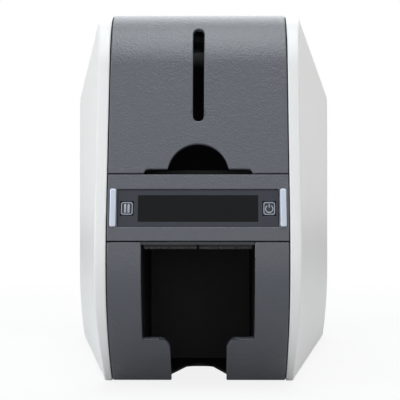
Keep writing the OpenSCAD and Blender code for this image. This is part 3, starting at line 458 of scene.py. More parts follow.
LOOKS = {
    "shell_white": plastic("shell white", shade(236, 235, 233), 0.34, (1500.0, 0.03), 0.02),
    "charcoal_plastic": plastic(
        "charcoal grain", shade(65, 68, 76), 0.38, (1100.0, 0.42), 0.05, specular=0.8
    ),
    "black_plastic": plastic("black plastic", shade(22, 22, 24), 0.55, (1300.0, 0.2), specular=0.3),
    "panel_glass": plastic("smoked glass", shade(46, 50, 59), 0.12, None, 0.02, specular=0.4),
    "key_face": plastic("key gloss", shade(46, 50, 59), 0.16, None, 0.02, specular=0.4),
    "display": plastic("display black", shade(24, 25, 27), 0.2, None, 0.02, coat=0.4),
    "circuit_board": plastic("solder mask", shade(24, 96, 58), 0.35, (500.0, 0.1)),
    "satin_trim": plastic(
        "satin silver", shade(190, 197, 210), 0.3, (2200.0, 0.04), 0.03, metallic=0.55
    ),
    "gloss_lip": plastic("gloss strip", shade(40, 40, 44), 0.25, None, 0.02, specular=0.35),
    "brush_fibre": plastic("carbon fibre", shade(88, 82, 79), 0.6, None, 0.2),
    "steel_sheet": metal("zinc sheet", shade(186, 189, 192), 0.38, (160.0, 0.08)),
    "steel_rod": metal("turned steel", shade(196, 198, 200), 0.25, (700.0, 0.12)),
    "bronze": metal("sintered bronze", shade(181, 140, 84), 0.42, (900.0, 0.1)),
    "roller_rubber": plastic("ground rubber", shade(48, 48, 50), 0.75, (1700.0, 0.3)),
    "shaft_steel": metal("ground steel", shade(200, 202, 205), 0.2, (900.0, 0.05)),
    "cleaning_blue": plastic("tacky silicone", shade(64, 116, 180), 0.3, (300.0, 0.05)),
    "cassette_plastic": plastic("cassette grey", shade(142, 145, 151), 0.5, (900.0, 0.15)),
    "ribbon_film": plastic("ribbon film", shade(118, 48, 92), 0.16, (120.0, 0.06), 0.04, coat=0.3),
    "gear_plastic": plastic("acetal", shade(222, 219, 210), 0.42, (700.0, 0.06)),
    "motor_black": plastic("motor paint", shade(44, 45, 48), 0.4, (600.0, 0.15)),
    "heatsink": metal("extruded aluminium", shade(205, 207, 210), 0.34, (500.0, 0.15)),
    "carrier_plastic": plastic("carrier plastic", shade(84, 87, 95), 0.5, (900.0, 0.2)),
    "belt_rubber": plastic("neoprene", shade(36, 36, 38), 0.7, (1200.0, 0.25)),
    "connector": plastic("connector black", shade(28, 28, 30), 0.4, (1200.0, 0.1)),
    "socket_metal": metal("plated socket", shade(205, 206, 208), 0.24, (600.0, 0.06)),
    "foot_rubber": plastic("foot rubber", shade(48, 48, 50), 0.8, (900.0, 0.3)),
}
SLOT_OF = {p["node"]: p["material_slot"] for p in frame["record"]["subparts"]}
PRINT = plastic("light print", shade(168, 173, 183), 0.5, None, 0.03)
DARK_PRINT = plastic("window print", shade(14, 15, 17), 0.2, None, 0.02, specular=0.15)


def dress(thing, body, slot, look=None, stands_for=()):
    """Gives a piece the look of its slot, or the look given, and its body, and hides the CAD nodes
    that it stands for.
    """
    thing.data.materials.append(look or LOOKS[slot])
    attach(thing, body)
    if stands_for:
        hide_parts(*stands_for)
    return thing


# ---------------------------------------------------------------- side shells

# Middle of the rear corner's circle, and the angle at which the flare leaves the depth axis.
corner = np.array([BODY_W / 2 - CORNER_R, BODY_D - CORNER_R])
to_corner = corner - [RIM_OUT, FLARE_Y]
FLARE_A = math.atan(to_corner[0] / to_corner[1]) + math.asin(CORNER_R / math.hypot(*to_corner))
FLARE_RUN = FLARE_R * math.tan(FLARE_A / 2)
SHOULDER_RUN = BODY_D - REAR_R - SHOULDER_Y


def wall_width(depth):
    """Half-width over the depth: level, R - sqrt(R^2 - y^2), a slope, the rear corner's circle."""
    y = np.clip(depth - (FLARE_Y - FLARE_RUN), 0, FLARE_R * math.sin(FLARE_A))
    turn = RIM_OUT + FLARE_R - np.sqrt(FLARE_R**2 - y**2)
    slope = RIM_OUT + (depth - FLARE_Y) * math.tan(FLARE_A)
    width = np.where(depth > FLARE_Y + FLARE_RUN * math.cos(FLARE_A), slope, turn)
    c = np.clip(depth - corner[1], -CORNER_R, CORNER_R)
    rear = corner[0] + np.sqrt(CORNER_R**2 - c**2)
    return np.where(depth > corner[1] - CORNER_R * math.sin(FLARE_A), rear, width)


def tuck(z):
    """How far the wall turns in below TUCK_H: r - sqrt(r^2 - (TUCK_H - z)^2)."""
    r = (TUCK_H**2 + TUCK_IN**2) / (2 * TUCK_IN)
    return r - np.sqrt(r**2 - np.clip(TUCK_H - z, 0, None) ** 2)


def shoulder_width(depth, z):
    """Half-width of the plane n . (P - P0) = 0 that slopes the shoulder."""
    a, yaw = math.radians(SHOULDER_A), math.atan((SHOULDER_W1 - SHOULDER_W0) / SHOULDER_RUN)
    pitch = -math.atan(SHOULDER_FALL / SHOULDER_RUN)
    n = np.array([math.sin(a), -math.cos(a) * math.sin(pitch), math.cos(a) * math.cos(pitch)])
    n[:2] = n[0] * math.cos(yaw) + n[1] * math.sin(yaw), n[1] * math.cos(yaw) - n[0] * math.sin(yaw)
    return SHOULDER_W0 - (n[1] * (depth - SHOULDER_Y) + n[2] * (z - BODY_H + SHOULDER_DROP)) / n[0]


def shell_width(depth, z, blend=1.2):
    """The smaller of wall and shoulder, rounded: (a + b - sqrt((a - b)^2 + blend^2)) / 2."""
    a, b = wall_width(depth) - tuck(z), shoulder_width(depth, z)
    return (a + b - np.sqrt((a - b) ** 2 + blend**2)) / 2


def wall_ring(points):
    """A ring on the wall: each (depth, height) at its half-width."""
    return row(shell_width(*points.T), *points.T)


def side_shell(name, sign):
    """Rim, rounded edge and flared wall of one side, in rings over the outline p with normal n.

    The first rings run outwards over the outline from the rim's inner edge. The next turn a
    quarter circle of radius r: p - n r (1 - cos a), at the half-width less r (1 - sin a). Then
    the wall runs inwards at p - n d, and on straight lines to a level core line in its middle.
    """
    edge_r, sharp_r, inset = 1.1, 0.01, 8.0
    core_z, core_front, core_rear, core_step = 110.0, 99, 321, 3
    turn_reach, fade, beside, close_rings = 14, 2.8, 0.02, 19
    # The edge's radius falls from before to behind the rear plane's top, and grows at its foot.
    before_top, behind_top, before_foot, rear_margin = 8, 2, 12, 0.5
    total, underside = side.s[-1], BODY_D - REAR_R - FOOT_Y
    rear_top_s, rear_low_s = side.s_of_depth(BODY_D - rear_margin), total - underside
    open_top = rear_top_s + float(side.at(rear_top_s)[1]) - REAR_OPEN_TOP
    open_low = open_top + REAR_OPEN_TOP - REAR_OPEN_LOW
    under0, under1 = total - underside + UNDER_MARGIN, total - UNDER_MARGIN
    ends = np.array([open_top, open_low, under0, under1])
    even = np.linspace(0, total, 620)[:-1]
    s = np.unique(np.concatenate([even, ends - beside, ends + beside]))
    p, n = side.at(s), side.normal(s)
    # Towards the foot's corner the normals turn to its bisector, so the inward offsets don't cross.
    corner_way = side.normal(np.array([0.0, total])).mean(0)
    near = np.clip(1 - np.minimum(s, total - s) / turn_reach, 0, 1)[:, None]
    n = n + (corner_way / np.linalg.norm(corner_way) - n) * near
    n /= np.linalg.norm(n, axis=1, keepdims=True)
    # Where the tuck narrows the rear corner, its circle meets the opening before the rear plane.
    # The outline follows it there, and comes back to the plane just under the opening.
    early = np.interp(s, [open_low, open_low + fade], [1, 0]) * (s > open_top)
    short = CORNER_R - np.sqrt(CORNER_R**2 - tuck(p[:, 1]) ** 2)
    p = p - np.stack([early * short, 0 * s], -1)
    sharpens = [rear_top_s - before_top, rear_top_s + behind_top]
    rounds = [rear_low_s - before_foot, rear_low_s]
    radii = [edge_r, edge_r, sharp_r, sharp_r, edge_r, edge_r]
    r = np.interp(s, [0, *sharpens, *rounds, total], radii)
    h = shell_width(*p.T)
    inner = np.where((s > open_top) & (s < open_low), corner[0], RIM_IN)
    inner = np.where((s > under0) & (s < under1), h - SIDE_WALL - TUCK_IN, inner)
    outer = np.maximum(h - r, inner)
    rings = [row(inner + (outer - inner) * t, *p.T) for t in np.linspace(0, 1, 7)]
    for a in np.radians(np.linspace(15, 90, 6)):
        q = p - n * (r * (1 - math.cos(a)))[:, None]
        rings.append(row(shell_width(*q.T) - r * (1 - math.sin(a)), *q.T))
    rings += [wall_ring(p - n * d) for d in steps(1.9, 8, inset)]
    base = p - n * inset
    # The core line's points, 3 mm apart, are shared by the rings from above and below.
    core_y = np.round(np.clip(base[:, 0], core_front, core_rear) / core_step) * core_step
    core = np.stack([core_y, np.full(len(s), core_z)], -1)
    reach = np.linalg.norm(core - base, axis=1, keepdims=True)
    inward = (core - base) / reach
    rings += [wall_ring(base + inward * k) for k in range(1, close_rings + 1)]
    for t in np.linspace(0, 1, 20)[1:]:
        rings.append(wall_ring(base + inward * (close_rings + (reach - close_rings) * t)))
    grid = np.array(rings)
    grid[..., 0] *= sign
    shell = mesh_object(name, grid, [grid_faces(len(rings), len(s), wrap=True)], flip=sign > 0)
    weld(shell, SHELL_WELD)
    thicken(shell, SIDE_WALL)
    return shell


for label, sign in (("left", -1), ("right", 1)):
    shell = side_shell(f"side_shell_{label}", sign)
    dress(shell, "chassis", "shell_white", stands_for=[f"side_cover_{label}"])


# ---------------------------------------------------------------- dark covers


def mirrored(half):
    """Columns from the middle outwards, made symmetrical about 0."""
    half = np.asarray(half, float)
    return np.concatenate([-half[:0:-1], half])


def between(curves, counts):
    """Rows from curve to curve: s = a + (b - a) t, with counts steps in each stretch."""
    rows = [curves[0][None]]
    for a, b, count in zip(curves, curves[1:], counts):
        rows.append(a + (b - a) * np.linspace(0, 1, count + 1)[1:, None])
    return np.concatenate(rows)


def clad(name, path, x_flat, s, keep=None, wall=COVER_WALL, edge=0.5):
    """A sheet over a path: x across it, and folded down the path's normal beyond +-SPINE."""
    x_flat = np.broadcast_to(x_flat, s.shape)
    x = np.clip(x_flat, -SPINE, SPINE)
    p = path.at(s) - path.normal(s) * np.abs(x_flat - x)[..., None]
    thing = mesh_object(name, row(x, p[..., 0], p[..., 1]), [grid_faces(*s.shape, keep=keep)])
    weld(thing, FINE_WELD)
    thicken(thing, wall)
    soften(thing, edge)
    return thing


def middles(v):
    """Means of each cell's four corners."""
    return (v[:-1, :-1] + v[1:, :-1] + v[:-1, 1:] + v[1:, 1:]) / 4


def cells(x_flat, s):
    """Middles of a grid's cells: (|x|, s)."""
    x = np.broadcast_to(x_flat, s.shape)
    return np.abs(middles(x)), middles(s)


def barrel_path(points, hinge_depth):
    """A path along points, then down round a hinge barrel to its underside."""
    axis = (hinge_depth, top_height(hinge_depth) - BARREL_R)
    start, end = 90 - TOP_FALL - 4, -100
    return Path(np.concatenate([points, arc(axis, BARREL_R, start, end, 48)])), axis


def barrel_core(name, axis, chamfer=0.4, count=64):
    """The rod inside a rolled barrel: a profile (x, r), chamfered, carried round the axis."""
    radius, end = BARREL_R - COVER_WALL, SPINE - 0.3
    profile = np.array([[-end, 0.01], [-end, radius - chamfer], [-end + chamfer, radius]])
    profile = np.concatenate([profile, (profile * [-1, 1])[::-1]])
    a = np.linspace(0, 2 * math.pi, count, endpoint=False)
    x, r = profile[:, :1], profile[:, 1:]
    points = row(x + 0 * a, axis[0] + r * np.cos(a), axis[1] + r * np.sin(a))
    return mesh_object(name, points, [grid_faces(len(profile), count, wrap=True)])


def hopper_cover():
    """The leaning cover, rolled round its hinge barrel.

    Heights over x: the slot between z -+ sqrt(r^2 - x^2), and below it the larger of the feed
    gap and the thumb's circle, (a + b + sqrt((a - b)^2 + blend)) / 2, which rounds their corner.
    """
    thumb_z, thumb_blend, gap_flat = SPLIT_Z - SEAM, 1.6, FEED_GAP_HALF - FEED_GAP_H
    low_rows, slot_rows, crown_rows, barrel_rows = 14, 34, 26, 20
    thumb_end, clear_barrel = math.radians(72), 12
    start, end = side.s_of_height(SPLIT_Z), side.s_of_depth(COVER_HINGE_Y)
    path, axis = barrel_path(side.at(steps(start, 150, end)), COVER_HINGE_Y)
    quarter = np.sin(np.linspace(0, math.pi / 2, 8))
    # Columns from the middle: the slot, the thumb's circle, its corner with the gap, the gap's
    # round end, and the rest of the cover with its flange.
    across_thumb = np.linspace(math.asin(SLOT_R / THUMB_R), thumb_end, 18)
    half = np.concatenate(
        [
            SLOT_R * quarter,
            THUMB_R * np.sin(across_thumb)[1:],
            steps(16.8, 8, 18.2, 3, 20.0, 4, gap_flat),
            gap_flat + (FEED_GAP_H * quarter)[1:],
            steps(FEED_GAP_HALF + 0.5, 7, SPINE, 4, SPINE + COVER_FLANGE),
        ]
    )
    x = mirrored(half)
    ax = np.abs(x)
    past_flat = np.clip(ax - FEED_GAP_HALF + FEED_GAP_H, 0, None)
    gap_top = SPLIT_Z + np.sqrt(np.clip(FEED_GAP_H**2 - past_flat**2, 0, None))
    thumb = thumb_z + np.sqrt(np.clip(THUMB_R**2 - ax**2, 0, None))
    larger = (gap_top + thumb + np.sqrt((gap_top - thumb) ** 2 + thumb_blend)) / 2
    low = np.where(ax < gap_flat, larger, gap_top)
    slot_round = np.sqrt(np.clip(SLOT_R**2 - ax**2, 0, None))
    slot_ends = (SLOT_LOW + SLOT_R - slot_round, SLOT_HIGH - SLOT_R + slot_round)
    curves = [side.s_of_height(z) - start for z in (low, *slot_ends)]
    curves += [np.full_like(x, end - start), np.full_like(x, path.s[-1])]
    s = between(curves, [low_rows, slot_rows, crown_rows, barrel_rows])
    cx, cs = cells(x, s)
    rows = np.arange(len(s) - 1)[:, None]
    in_slot = (cx < SLOT_R) & (rows >= low_rows) & (rows < low_rows + slot_rows)
    off_flange = (cx > SPINE) & (cs > end - start - clear_barrel)
    cover = clad("hopper_cover_skin", path, x, s, ~(in_slot | off_flange), edge=0.7)
    return cover, barrel_core("hopper_cover_barrel", axis)


def top_lid():
    """The lid from its front rail over the top, rolled round the rear hinge barrel."""
    rail, clear_barrel = 8.0, 14
    y0 = COVER_HINGE_Y + BARREL_R + SEAM
    lead = np.stack([np.full(4, y0), top_height(y0) - np.linspace(rail, 0, 5)[:-1]], -1)
    start, end = side.s_of_depth(y0), side.s_of_depth(LID_HINGE_Y)
    path, axis = barrel_path(np.concatenate([lead, side.at(steps(start, 60, end))]), LID_HINGE_Y)
    x = mirrored(steps(0, 12, SPINE, 4, SPINE + COVER_FLANGE))
    ends = [0.0, rail, rail + end - start, path.s[-1]]
    s = between([np.full_like(x, at) for at in ends], [3, 40, 20])
    cx, cs = cells(x, s)
    off_flange = (cx > SPINE) & ((cs < rail) | (cs > rail + end - start - clear_barrel))
    lid = clad("top_lid_skin", path, x, s, ~off_flange, edge=0.7)
    return lid, barrel_core("top_lid_barrel", axis)


for body, (skin, core) in (("hopper_cover", hopper_cover()), ("top_lid", top_lid())):
    dress(skin, body, "charcoal_plastic", stands_for=[body])
    dress(core, body, "charcoal_plastic")

# The panel's plane: the chord of the side outline over the glass.
PANEL_Z = (PANEL_Z0 + SPLIT_Z) / 2 - SEAM
panel_ends = side.at(side.s_of_height(np.array([PANEL_Z - GLASS_H / 2, PANEL_Z + GLASS_H / 2])))
TILT = math.atan((panel_ends[1, 0] - panel_ends[0, 0]) / GLASS_H)
PANEL_Y = panel_ends[:, 0].mean()


def on_panel(x, v, w):
    """Points of the panel's frame: v up its slope, w out of its face."""
    x, v, w = np.broadcast_arrays(x, v, w)
    depth = PANEL_Y + v * math.sin(TILT) - w * math.cos(TILT)
    return row(x, depth, PANEL_Z + v * math.cos(TILT) + w * math.sin(TILT))


def control_bezel():
    """The panel's curved frame with the pocket that holds the glass."""
    x = mirrored(steps(0, 10, GLASS_W / 2, 3, SPINE, 3, SPINE + PANEL_FLANGE))
    rise = GLASS_H / 2 * math.cos(TILT)
    heights = [PANEL_Z0, PANEL_Z - rise, PANEL_Z + rise, SPLIT_Z - SEAM]
    ends = [side.s_of_height(z) for z in heights]
    s = between([np.full_like(x, at) for at in ends], [5, 14, 5])
    cx, cs = cells(x, s)
    pocket = (cx < GLASS_W / 2) & (cs > ends[1]) & (cs < ends[2])
    return clad("control_bezel_skin", side, x, s, ~pocket, edge=0.5)


dress(control_bezel(), "chassis", "charcoal_plastic", stands_for=["control_bezel"])


def block(name, x0, x1, y0, y1, z0, z1):
    """A plain block: corner i takes its far x, y or z where bit 0, 1 or 2 of i is set."""
    far = np.arange(8)[None] >> np.arange(3)[:, None] & 1
    x, y, z = np.where(far, [[x1], [y1], [z1]], [[x0], [y0], [z0]])
    faces = [[0, 2, 3, 1], [4, 5, 7, 6], [0, 1, 5, 4], [2, 6, 7, 3], [0, 4, 6, 2], [1, 3, 7, 5]]
    return mesh_object(name, row(x, y, z), [faces])


def both_halves(name, right, faces):
    """An object from the points and faces of its right half, and their mirror image."""
    right = right.reshape(-1, 3)
    points = np.concatenate([right, right * [-1, 1, 1]])
    return mesh_object(name, points, [faces, faces[:, ::-1] + len(right)])


def front_bezel():
    """Two jaws beside the output: x_in(z) steps in below STEP_Z with a rounded corner."""
    low_rows, corner_rows, high_rows, inner = 12, 8, 26, 6
    a = np.linspace(0, math.pi / 2, corner_rows + 1)[1:]
    round_z = STEP_Z - JAW_CORNER + JAW_CORNER * np.sin(a)
    round_x = JAW_HALF + JAW_CORNER * (1 - np.cos(a))
    low_z = steps(GAP + 0.01, low_rows, STEP_Z - JAW_CORNER)
    high_z = steps(STEP_Z, high_rows, LIP_Z, 1, PANEL_Z0 - SEAM)[1:]
    z = np.concatenate([low_z, round_z, high_z])
    x_in = np.concatenate([np.full_like(low_z, JAW_HALF), round_x, np.full_like(high_z, OUT_HALF)])
    jaw = x_in[:, None] + (OUT_HALF - x_in[:, None]) * np.linspace(0, 1, inner + 1)
    cheek = steps(OUT_HALF, 7, SPINE, 4, SPINE + COVER_FLANGE)[1:]
    x = np.concatenate([jaw, np.tile(cheek, (len(z), 1))], 1)
    s = side.s_of_height(z)[:, None] * np.ones((1, x.shape[1]))
    row_of, column_of = np.indices((len(z) - 1, x.shape[1] - 1))
    under_step = row_of < low_rows + corner_rows
    p = side.at(s) - side.normal(s) * np.clip(x - SPINE, 0, None)[..., None]
    right = row(np.minimum(x, SPINE), p[..., 0], p[..., 1])
    faces = grid_faces(*s.shape, keep=under_step | (column_of >= inner))
    thing = both_halves("front_bezel_skin", right, faces)
    weld(thing, FINE_WELD)
    thicken(thing, COVER_WALL)
    soften(thing, 0.7)
    return thing


dress(front_bezel(), "chassis", "charcoal_plastic", stands_for=["front_bezel"])
LIP_Y = float(side.at(side.s_of_height(LIP_Z + LIP_H / 2))[0])
bridge_x, bridge_y = OUT_HALF + 0.5, (LIP_Y + 0.9, LIP_Y + 11.5)
bridge = block("output_bridge", -bridge_x, bridge_x, *bridge_y, LIP_Z + 0.1, LIP_Z + LIP_H)
dress(bridge, "chassis", "charcoal_plastic")


# ---------------------------------------------------------------- panel


def loop(w, h, r, inset=0.0, corner_steps=8):
    """A rounded rectangle's points, counter-clockwise, drawn in by an inset."""
    r = max(r - inset, 0.02)
    a, b = w / 2 - inset - r, h / 2 - inset - r
    t = np.linspace(0, math.pi / 2, corner_steps)
    corners = []
    for cx, cy, quarter in ((a, b, 0), (-a, b, 1), (-a, -b, 2), (a, -b, 3)):
        turn = t + quarter * math.pi / 2
        corners.append(np.stack([cx + r * np.cos(turn), cy + r * np.sin(turn)], -1))
    return np.concatenate(corners)


def slab(name, x, w, h, r, z0, z1, edge, collar=0.0):
    """A rounded plate on the panel: rings up its side and over a quarter-round edge, then a face.

    A collar is a wider foot, 1 mm thick, below z0.
    """
    a = np.radians(np.linspace(0, 90, 6))
    rings = [(0.0, z0)] if not collar else [(-collar, z0 - 1), (-collar, z0), (0.0, z0)]
    rings += [(edge * (1 - math.cos(t)), z1 - edge * (1 - math.sin(t))) for t in a]
    loops = [(loop(w, h, r, inset), z) for inset, z in rings]
    points = np.concatenate([on_panel(x + l[:, 0], l[:, 1], z) for l, z in loops])
    count = len(loops[0][0])
    last = len(points) - count
    caps = [np.arange(count)[::-1][None], np.arange(last, last + count)[None]]
    return mesh_object(name, points, [grid_faces(len(loops), count, wrap=True), *caps])


def ring_print(outer, inner, x, z):
    """A raised band between two loops on the panel: points and faces."""
    top = z + PRINT_LIFT
    levels = [(outer, z), (outer, top), (inner, top), (inner, z)]
    points = np.concatenate([on_panel(x + l[:, 0], l[:, 1], w) for l, w in levels])
    return points, grid_faces(len(levels), len(outer), wrap=True)


def bar_print(x, v, w, h, z, r=0.45):
    """A raised rounded bar on the panel: points, side faces and cap."""
    l = loop(w, h, r, corner_steps=5)
    points = np.concatenate([on_panel(x + l[:, 0], v + l[:, 1], z + d) for d in (0.0, PRINT_LIFT)])
    return points, grid_faces(2, len(l), wrap=True), np.arange(len(l), 2 * len(l))[None]


def arc_print(radius, width, gap, x, v, z):
    """A raised ring with an opening of 2 gap degrees at its top."""
    a = np.radians(np.linspace(90 + gap, 450 - gap, 60))
    outer, inner = radius + width / 2, radius - width / 2
    levels = [(outer, 0.0), (outer, PRINT_LIFT), (inner, PRINT_LIFT), (inner, 0.0)]
    rings = [on_panel(x + np.cos(a) * r, v + np.sin(a) * r, z + d) for r, d in levels]
    return np.concatenate(rings), grid_faces(len(levels), len(a))


def printed(name, parts):
    """Several raised marks as one object."""
    points, faces, start = [], [], 0
    for block_points, *blocks in parts:
        points.append(block_points.reshape(-1, 3))
        faces += [b + start for b in blocks]
        start += len(points[-1])
    return mesh_object(name, np.concatenate(points), faces)


def glass():
    """The smoked panel with square openings for the two keys."""
    w, h = GLASS_W / 2 - GLASS_PLAY, GLASS_H / 2 - GLASS_PLAY
    key_w, key_h = KEY_W / 2 + KEY_PLAY, KEY_H / 2 + KEY_PLAY
    x = mirrored(steps(0, 8, KEY_X - key_w, 3, KEY_X + key_w, 2, w))
    v = mirrored(steps(0, 3, key_h, 3, h))
    points = on_panel(x[None, :], v[:, None], -GLASS_SINK)
    cx, cv = cells(x[None, :], v[:, None] * np.ones((1, len(x))))
    hole = (np.abs(cx - KEY_X) < key_w) & (np.abs(cv) < key_h)
    thing = mesh_object("panel_window", points, [grid_faces(len(v), len(x), keep=~hole)])
    thicken(thing, GLASS_T)
    soften(thing, 0.2, 2)
    return thing


dress(glass(), "chassis", "panel_glass", stands_for=["panel_glass"])
window = slab("display_window", 0, LCD_W, LCD_H, LCD_R, -GLASS_SINK - 0.1, -GLASS_SINK + 0.03, 0.02)
dress(window, "chassis", "panel_glass", DARK_PRINT)
# Keys from their seat behind the glass to a face just proud of it, with a printed border and sign.
key_seat, key_face = -GLASS_SINK - GLASS_T - 3, -GLASS_SINK + 0.05
border_outer, border_inner = (loop(KEY_W, KEY_H, KEY_R, inset) for inset in (0.38, 0.82))
for label, x in (("pause", -KEY_X), ("power", KEY_X)):
    key = slab(f"{label}_key_cap", x, KEY_W, KEY_H, KEY_R, key_seat, key_face, 0.35, collar=1.0)
    dress(key, f"{label}_key", "key_face", stands_for=[f"{label}_key"])
    border = ring_print(border_outer, border_inner, x, key_face)
    if label == "pause":
        marks = [bar_print(x + s * 0.98, 0, 1.25, 5.4, key_face) for s in (-1, 1)]
    else:
        stroke = 0.55
        marks = [
            arc_print(2.1, stroke, 32, x, -0.25, key_face),
            bar_print(x, 1.45, stroke, 2.3, key_face, 0.2),
        ]
    dress(printed(f"{label}_symbol", [border, *marks]), f"{label}_key", "key_face", PRINT)

for label, s in (("left", -1), ("right", 1)):
    bar = slab(f"trim_{label}", s * TRIM_X, TRIM_W, GLASS_H, TRIM_R, -0.6, TRIM_OUT, 0.6)
    dress(bar, "chassis", "satin_trim", stands_for=[f"trim_bar_{label}"])


# ---------------------------------------------------------------- output


def lip():
    """Two gloss strips over the bridge, with a fine joint in the middle."""
    half, joint, margin = OUT_HALF - 0.2, 0.08, 0.05
    x = np.concatenate([steps(-half, 12, -joint), steps(joint, 12, half)])
    heights = (LIP_Z + margin, LIP_Z + LIP_H - margin)
    s = between([np.full_like(x, side.s_of_height(z)) for z in heights], [4])
    cx, _ = cells(x, s)
    return clad("exit_lip_strip", side, x, s, cx > 0.1, wall=LIP_T, edge=0.18)


dress(lip(), "chassis", "gloss_lip", stands_for=["exit_lip"])


def bristles():
    """Two rows of bristles under their holders, each with its own lean and length.

    Each is a square of half-width t at its root, carried down by its length and drawn in to t / 2.
    """
    rng = np.random.default_rng(7)
    count = 900
    x = rng.uniform(0.9, OUT_HALF - 1.7, count) * np.where(np.arange(count) % 2, 1, -1)
    depth = LIP_Y + rng.uniform(1.5, 3.6, count)
    length = rng.uniform(1.9, 2.5, count)
    lean_x, lean_y = rng.normal(0, 0.16, count), rng.normal(0, 0.12, count)
    thick = rng.uniform(0.06, 0.1, count)
    root = np.array([[-1, -1], [1, -1], [1, 1], [-1, 1]]) * thick[:, None, None]
    tip = root * 0.5
    root_x, root_y = x[:, None] + root[..., 0], depth[:, None] + root[..., 1]
    tip_x, tip_y = (x + lean_x)[:, None] + tip[..., 0], (depth + lean_y)[:, None] + tip[..., 1]
    root_z, tip_z = np.full((count, 4), LIP_Z + 0.2), np.tile((LIP_Z - length)[:, None], 4)
    pairs = ((root_x, tip_x), (root_y, tip_y), (root_z, tip_z))
    points = row(*(np.concatenate(pair, 1) for pair in pairs))
    one = np.array([[0, 1, 5, 4], [1, 2, 6, 5], [2, 3, 7, 6], [3, 0, 4, 7], [4, 5, 6, 7]])
    faces = (one[None] + 8 * np.arange(count)[:, None, None]).reshape(-1, 4)
    return mesh_object("exit_bristles", points, [faces])


dress(bristles(), "chassis", "brush_fibre", stands_for=["exit_brush"])
for label, s in (("left", -1), ("right", 1)):
    ends = sorted((s * 0.8, s * (OUT_HALF - 1.6)))
    depths, heights = (LIP_Y + 1.1, LIP_Y + 4.0), (LIP_Z - 1.1, LIP_Z + 0.05)
    holder = block(f"brush_holder_{label}", *ends, *depths, *heights)
    soften(holder, 0.15, 2)
    dress(holder, "chassis", "black_plastic")


def base_plate():
    """The base: over the depth, x runs from the notch's edge to the wall less its inset."""
    round_y = NOTCH_END - NOTCH_R
    notch_round = round_y + NOTCH_R * np.sin(np.linspace(0, math.pi / 2, 9))
    depth = np.concatenate(
        [
            steps(FOOT_Y + BASE_FRONT, 10, round_y),
            notch_round[1:],
            steps(NOTCH_END + 0.01, 40, corner[1], 8, BASE_REAR),
        ]
    )
    fall = np.clip(depth - NOTCH_END + NOTCH_R, 0, NOTCH_R)
    notch = NOTCH_HALF - NOTCH_R + np.sqrt(NOTCH_R**2 - fall**2)
    x_in = np.where(depth <= NOTCH_END, notch, 0)
    past_corner = np.clip(depth - corner[1], 0, None)
    rear = corner[0] + np.sqrt((CORNER_R - BASE_INSET) ** 2 - past_corner**2)
    x_out = np.where(depth < corner[1], wall_width(depth) - BASE_INSET, rear)
    x = x_in[:, None] + (x_out - x_in)[:, None] * np.linspace(0, 1, 9)
    faces = grid_faces(*x.shape)
    thing = both_halves("base_plate", row(x, depth[:, None], BASE_TOP), faces)
    weld(thing, FINE_WELD)
    thicken(thing, BASE_TOP - GAP)
    soften(thing, 0.4, 2)
    return thing


dress(base_plate(), "chassis", "black_plastic", stands_for=["base"])


# ---------------------------------------------------------------- mechanism

# Nodes whose edges are rounded, and by how much.
ROUNDED = {"output_tray": 0.5, "hopper_bin": 0.4, "tie_rods": 0.3, "feet": 0.3}
for name, node in frame["nodes"].items():
    if not node.hide_render:
        copy = smoothed_copy(name, f"{name}_piece", ROUNDED.get(name, 0.0))
        dress(copy, body_of(node)[0], SLOT_OF[name], stands_for=[name])


# ---------------------------------------------------------------- camera, light and stage

scene = bpy.context.scene
camera = bpy.data.objects.new("camera", bpy.data.cameras.new("camera"))
scene.collection.objects.link(camera)
camera.data.lens, camera.data.sensor_width = 144.6, 36.0
camera.location = (0.0107, -1.096, 0.109)
camera.rotation_euler = (math.radians(90), 0, math.radians(0.606))
camera.data.clip_start, camera.data.clip_end = 0.05, 30
scene.camera = camera


def panel_light(name, place, aim, size, power, tint=(1, 1, 1)):
    """A soft rectangular lamp at a place, turned to its aim."""
    lamp = bpy.data.lights.new(name, "AREA")
    lamp.shape, lamp.size, lamp.size_y = "RECTANGLE", *size
    lamp.energy, lamp.color = power, tint
    thing = bpy.data.objects.new(name, lamp)
    thing.location = place
    thing.rotation_euler = (Vector(aim) - Vector(place)).to_track_quat("-Z", "Y").to_euler()
    scene.collection.objects.link(thing)


COOL, WARM = (0.9, 0.96, 1.0), (1.0, 0.97, 0.94)
panel_light("top", (0.0, -0.35, 1.4), (0, -0.15, 0.2), (0.5, 1.2), 8.0, COOL)
panel_light("rear", (0.0, 1.1, 1.15), (0, -0.1, 0.2), (1.2, 1.1), 8.5, COOL)
panel_light("left", (-1.1, -0.9, 0.6), (0, -0.1, 0.1), (0.8, 1.2), 8.8, COOL)
panel_light("right", (1.3, -0.7, 0.7), (0, -0.1, 0.1), (0.7, 1.0), 2.9, WARM)
panel_light("front", (0.1, -2.2, 0.35), (0, 0, 0.1), (1.2, 0.9), 2.3)


def seen_rays(tree):
    """1 for rays of the camera, of reflections and through glass, else 0; and the Light Path."""
    rays = tree.nodes.new("ShaderNodeLightPath")
    seen = maths(tree, "MAXIMUM")
    wire(tree, rays, seen, "Is Camera Ray", 0)
    wire(tree, rays, seen, "Is Glossy Ray", 1)
    all_seen = maths(tree, "MAXIMUM")
    wire(tree, seen, all_seen, 0, 0)
    wire(tree, rays, all_seen, "Is Transmission Ray", 1)
    return all_seen, rays


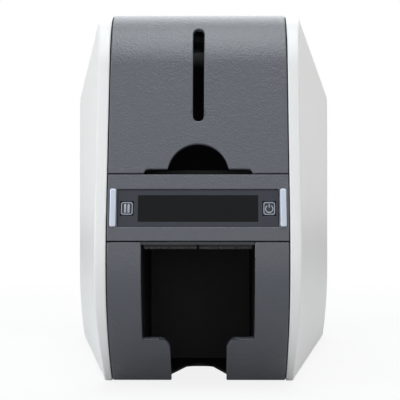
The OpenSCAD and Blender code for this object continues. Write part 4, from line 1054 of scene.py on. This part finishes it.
def choose(tree, share, first, second):
    """A shader that goes from first to second as share goes from 0 to 1."""
    mix = tree.nodes.new("ShaderNodeMixShader")
    wire(tree, share, mix)
    wire(tree, first, mix, 0, 1)
    wire(tree, second, mix, 0, 2)
    return mix


def floor_material(shadow=0.14, contact=0.85):
    """White where it is seen, and a pale matte floor for the rays that light the object.

    Where it is seen, a share of the lit matte floor stays in it, to keep the object's shadow:
    contact in reflections, and to the camera shadow near the middle and nothing far from it.
    """
    m = bpy.data.materials.new("white floor")
    m.use_nodes = True
    tree = m.node_tree
    tree.nodes.remove(tree.nodes["Principled BSDF"])
    matte = tree.nodes.new("ShaderNodeBsdfDiffuse")
    matte.inputs["Color"].default_value = (0.86, 0.86, 0.86, 1)
    white = tree.nodes.new("ShaderNodeEmission")
    place = tree.nodes.new("ShaderNodeTexCoord")
    reach = tree.nodes.new("ShaderNodeVectorMath")
    reach.operation = "LENGTH"
    near = tree.nodes.new("ShaderNodeMapRange")
    fade = {"From Min": 0.3, "From Max": 1.1, "To Min": shadow - contact, "To Max": -contact}
    for label, value in fade.items():
        near.inputs[label].default_value = value
    share = maths(tree, "MULTIPLY_ADD", addend=contact)
    seen, rays = seen_rays(tree)
    wire(tree, place, reach, "Object", 0)
    wire(tree, reach, near, "Value", "Value")
    wire(tree, rays, share, "Is Camera Ray", 0)
    wire(tree, near, share, 0, 1)
    surface = choose(tree, seen, matte, choose(tree, share, white, matte))
    wire(tree, surface, tree.nodes["Material Output"], 0, "Surface")
    return m


floor_points = np.array([[-6, -6, 0], [6, -6, 0], [6, 6, 0], [-6, 6, 0]], float)
floor = mesh_object("floor", floor_points, [[[0, 1, 2, 3]]])
floor.data.materials.append(floor_material())

# The world lights the object at 0.27, and is white where it is seen.
scene.world = bpy.data.worlds.new("world")
scene.world.use_nodes = True
sky = scene.world.node_tree
plain, bright = sky.nodes["Background"], sky.nodes.new("ShaderNodeBackground")
for background, strength in ((plain, 0.27), (bright, 1.0)):
    background.inputs["Color"].default_value = (1, 1, 1, 1)
    background.inputs["Strength"].default_value = strength
wire(sky, choose(sky, seen_rays(sky)[0], plain, bright), sky.nodes["World Output"], 0, "Surface")

scene.view_settings.view_transform = "Standard"
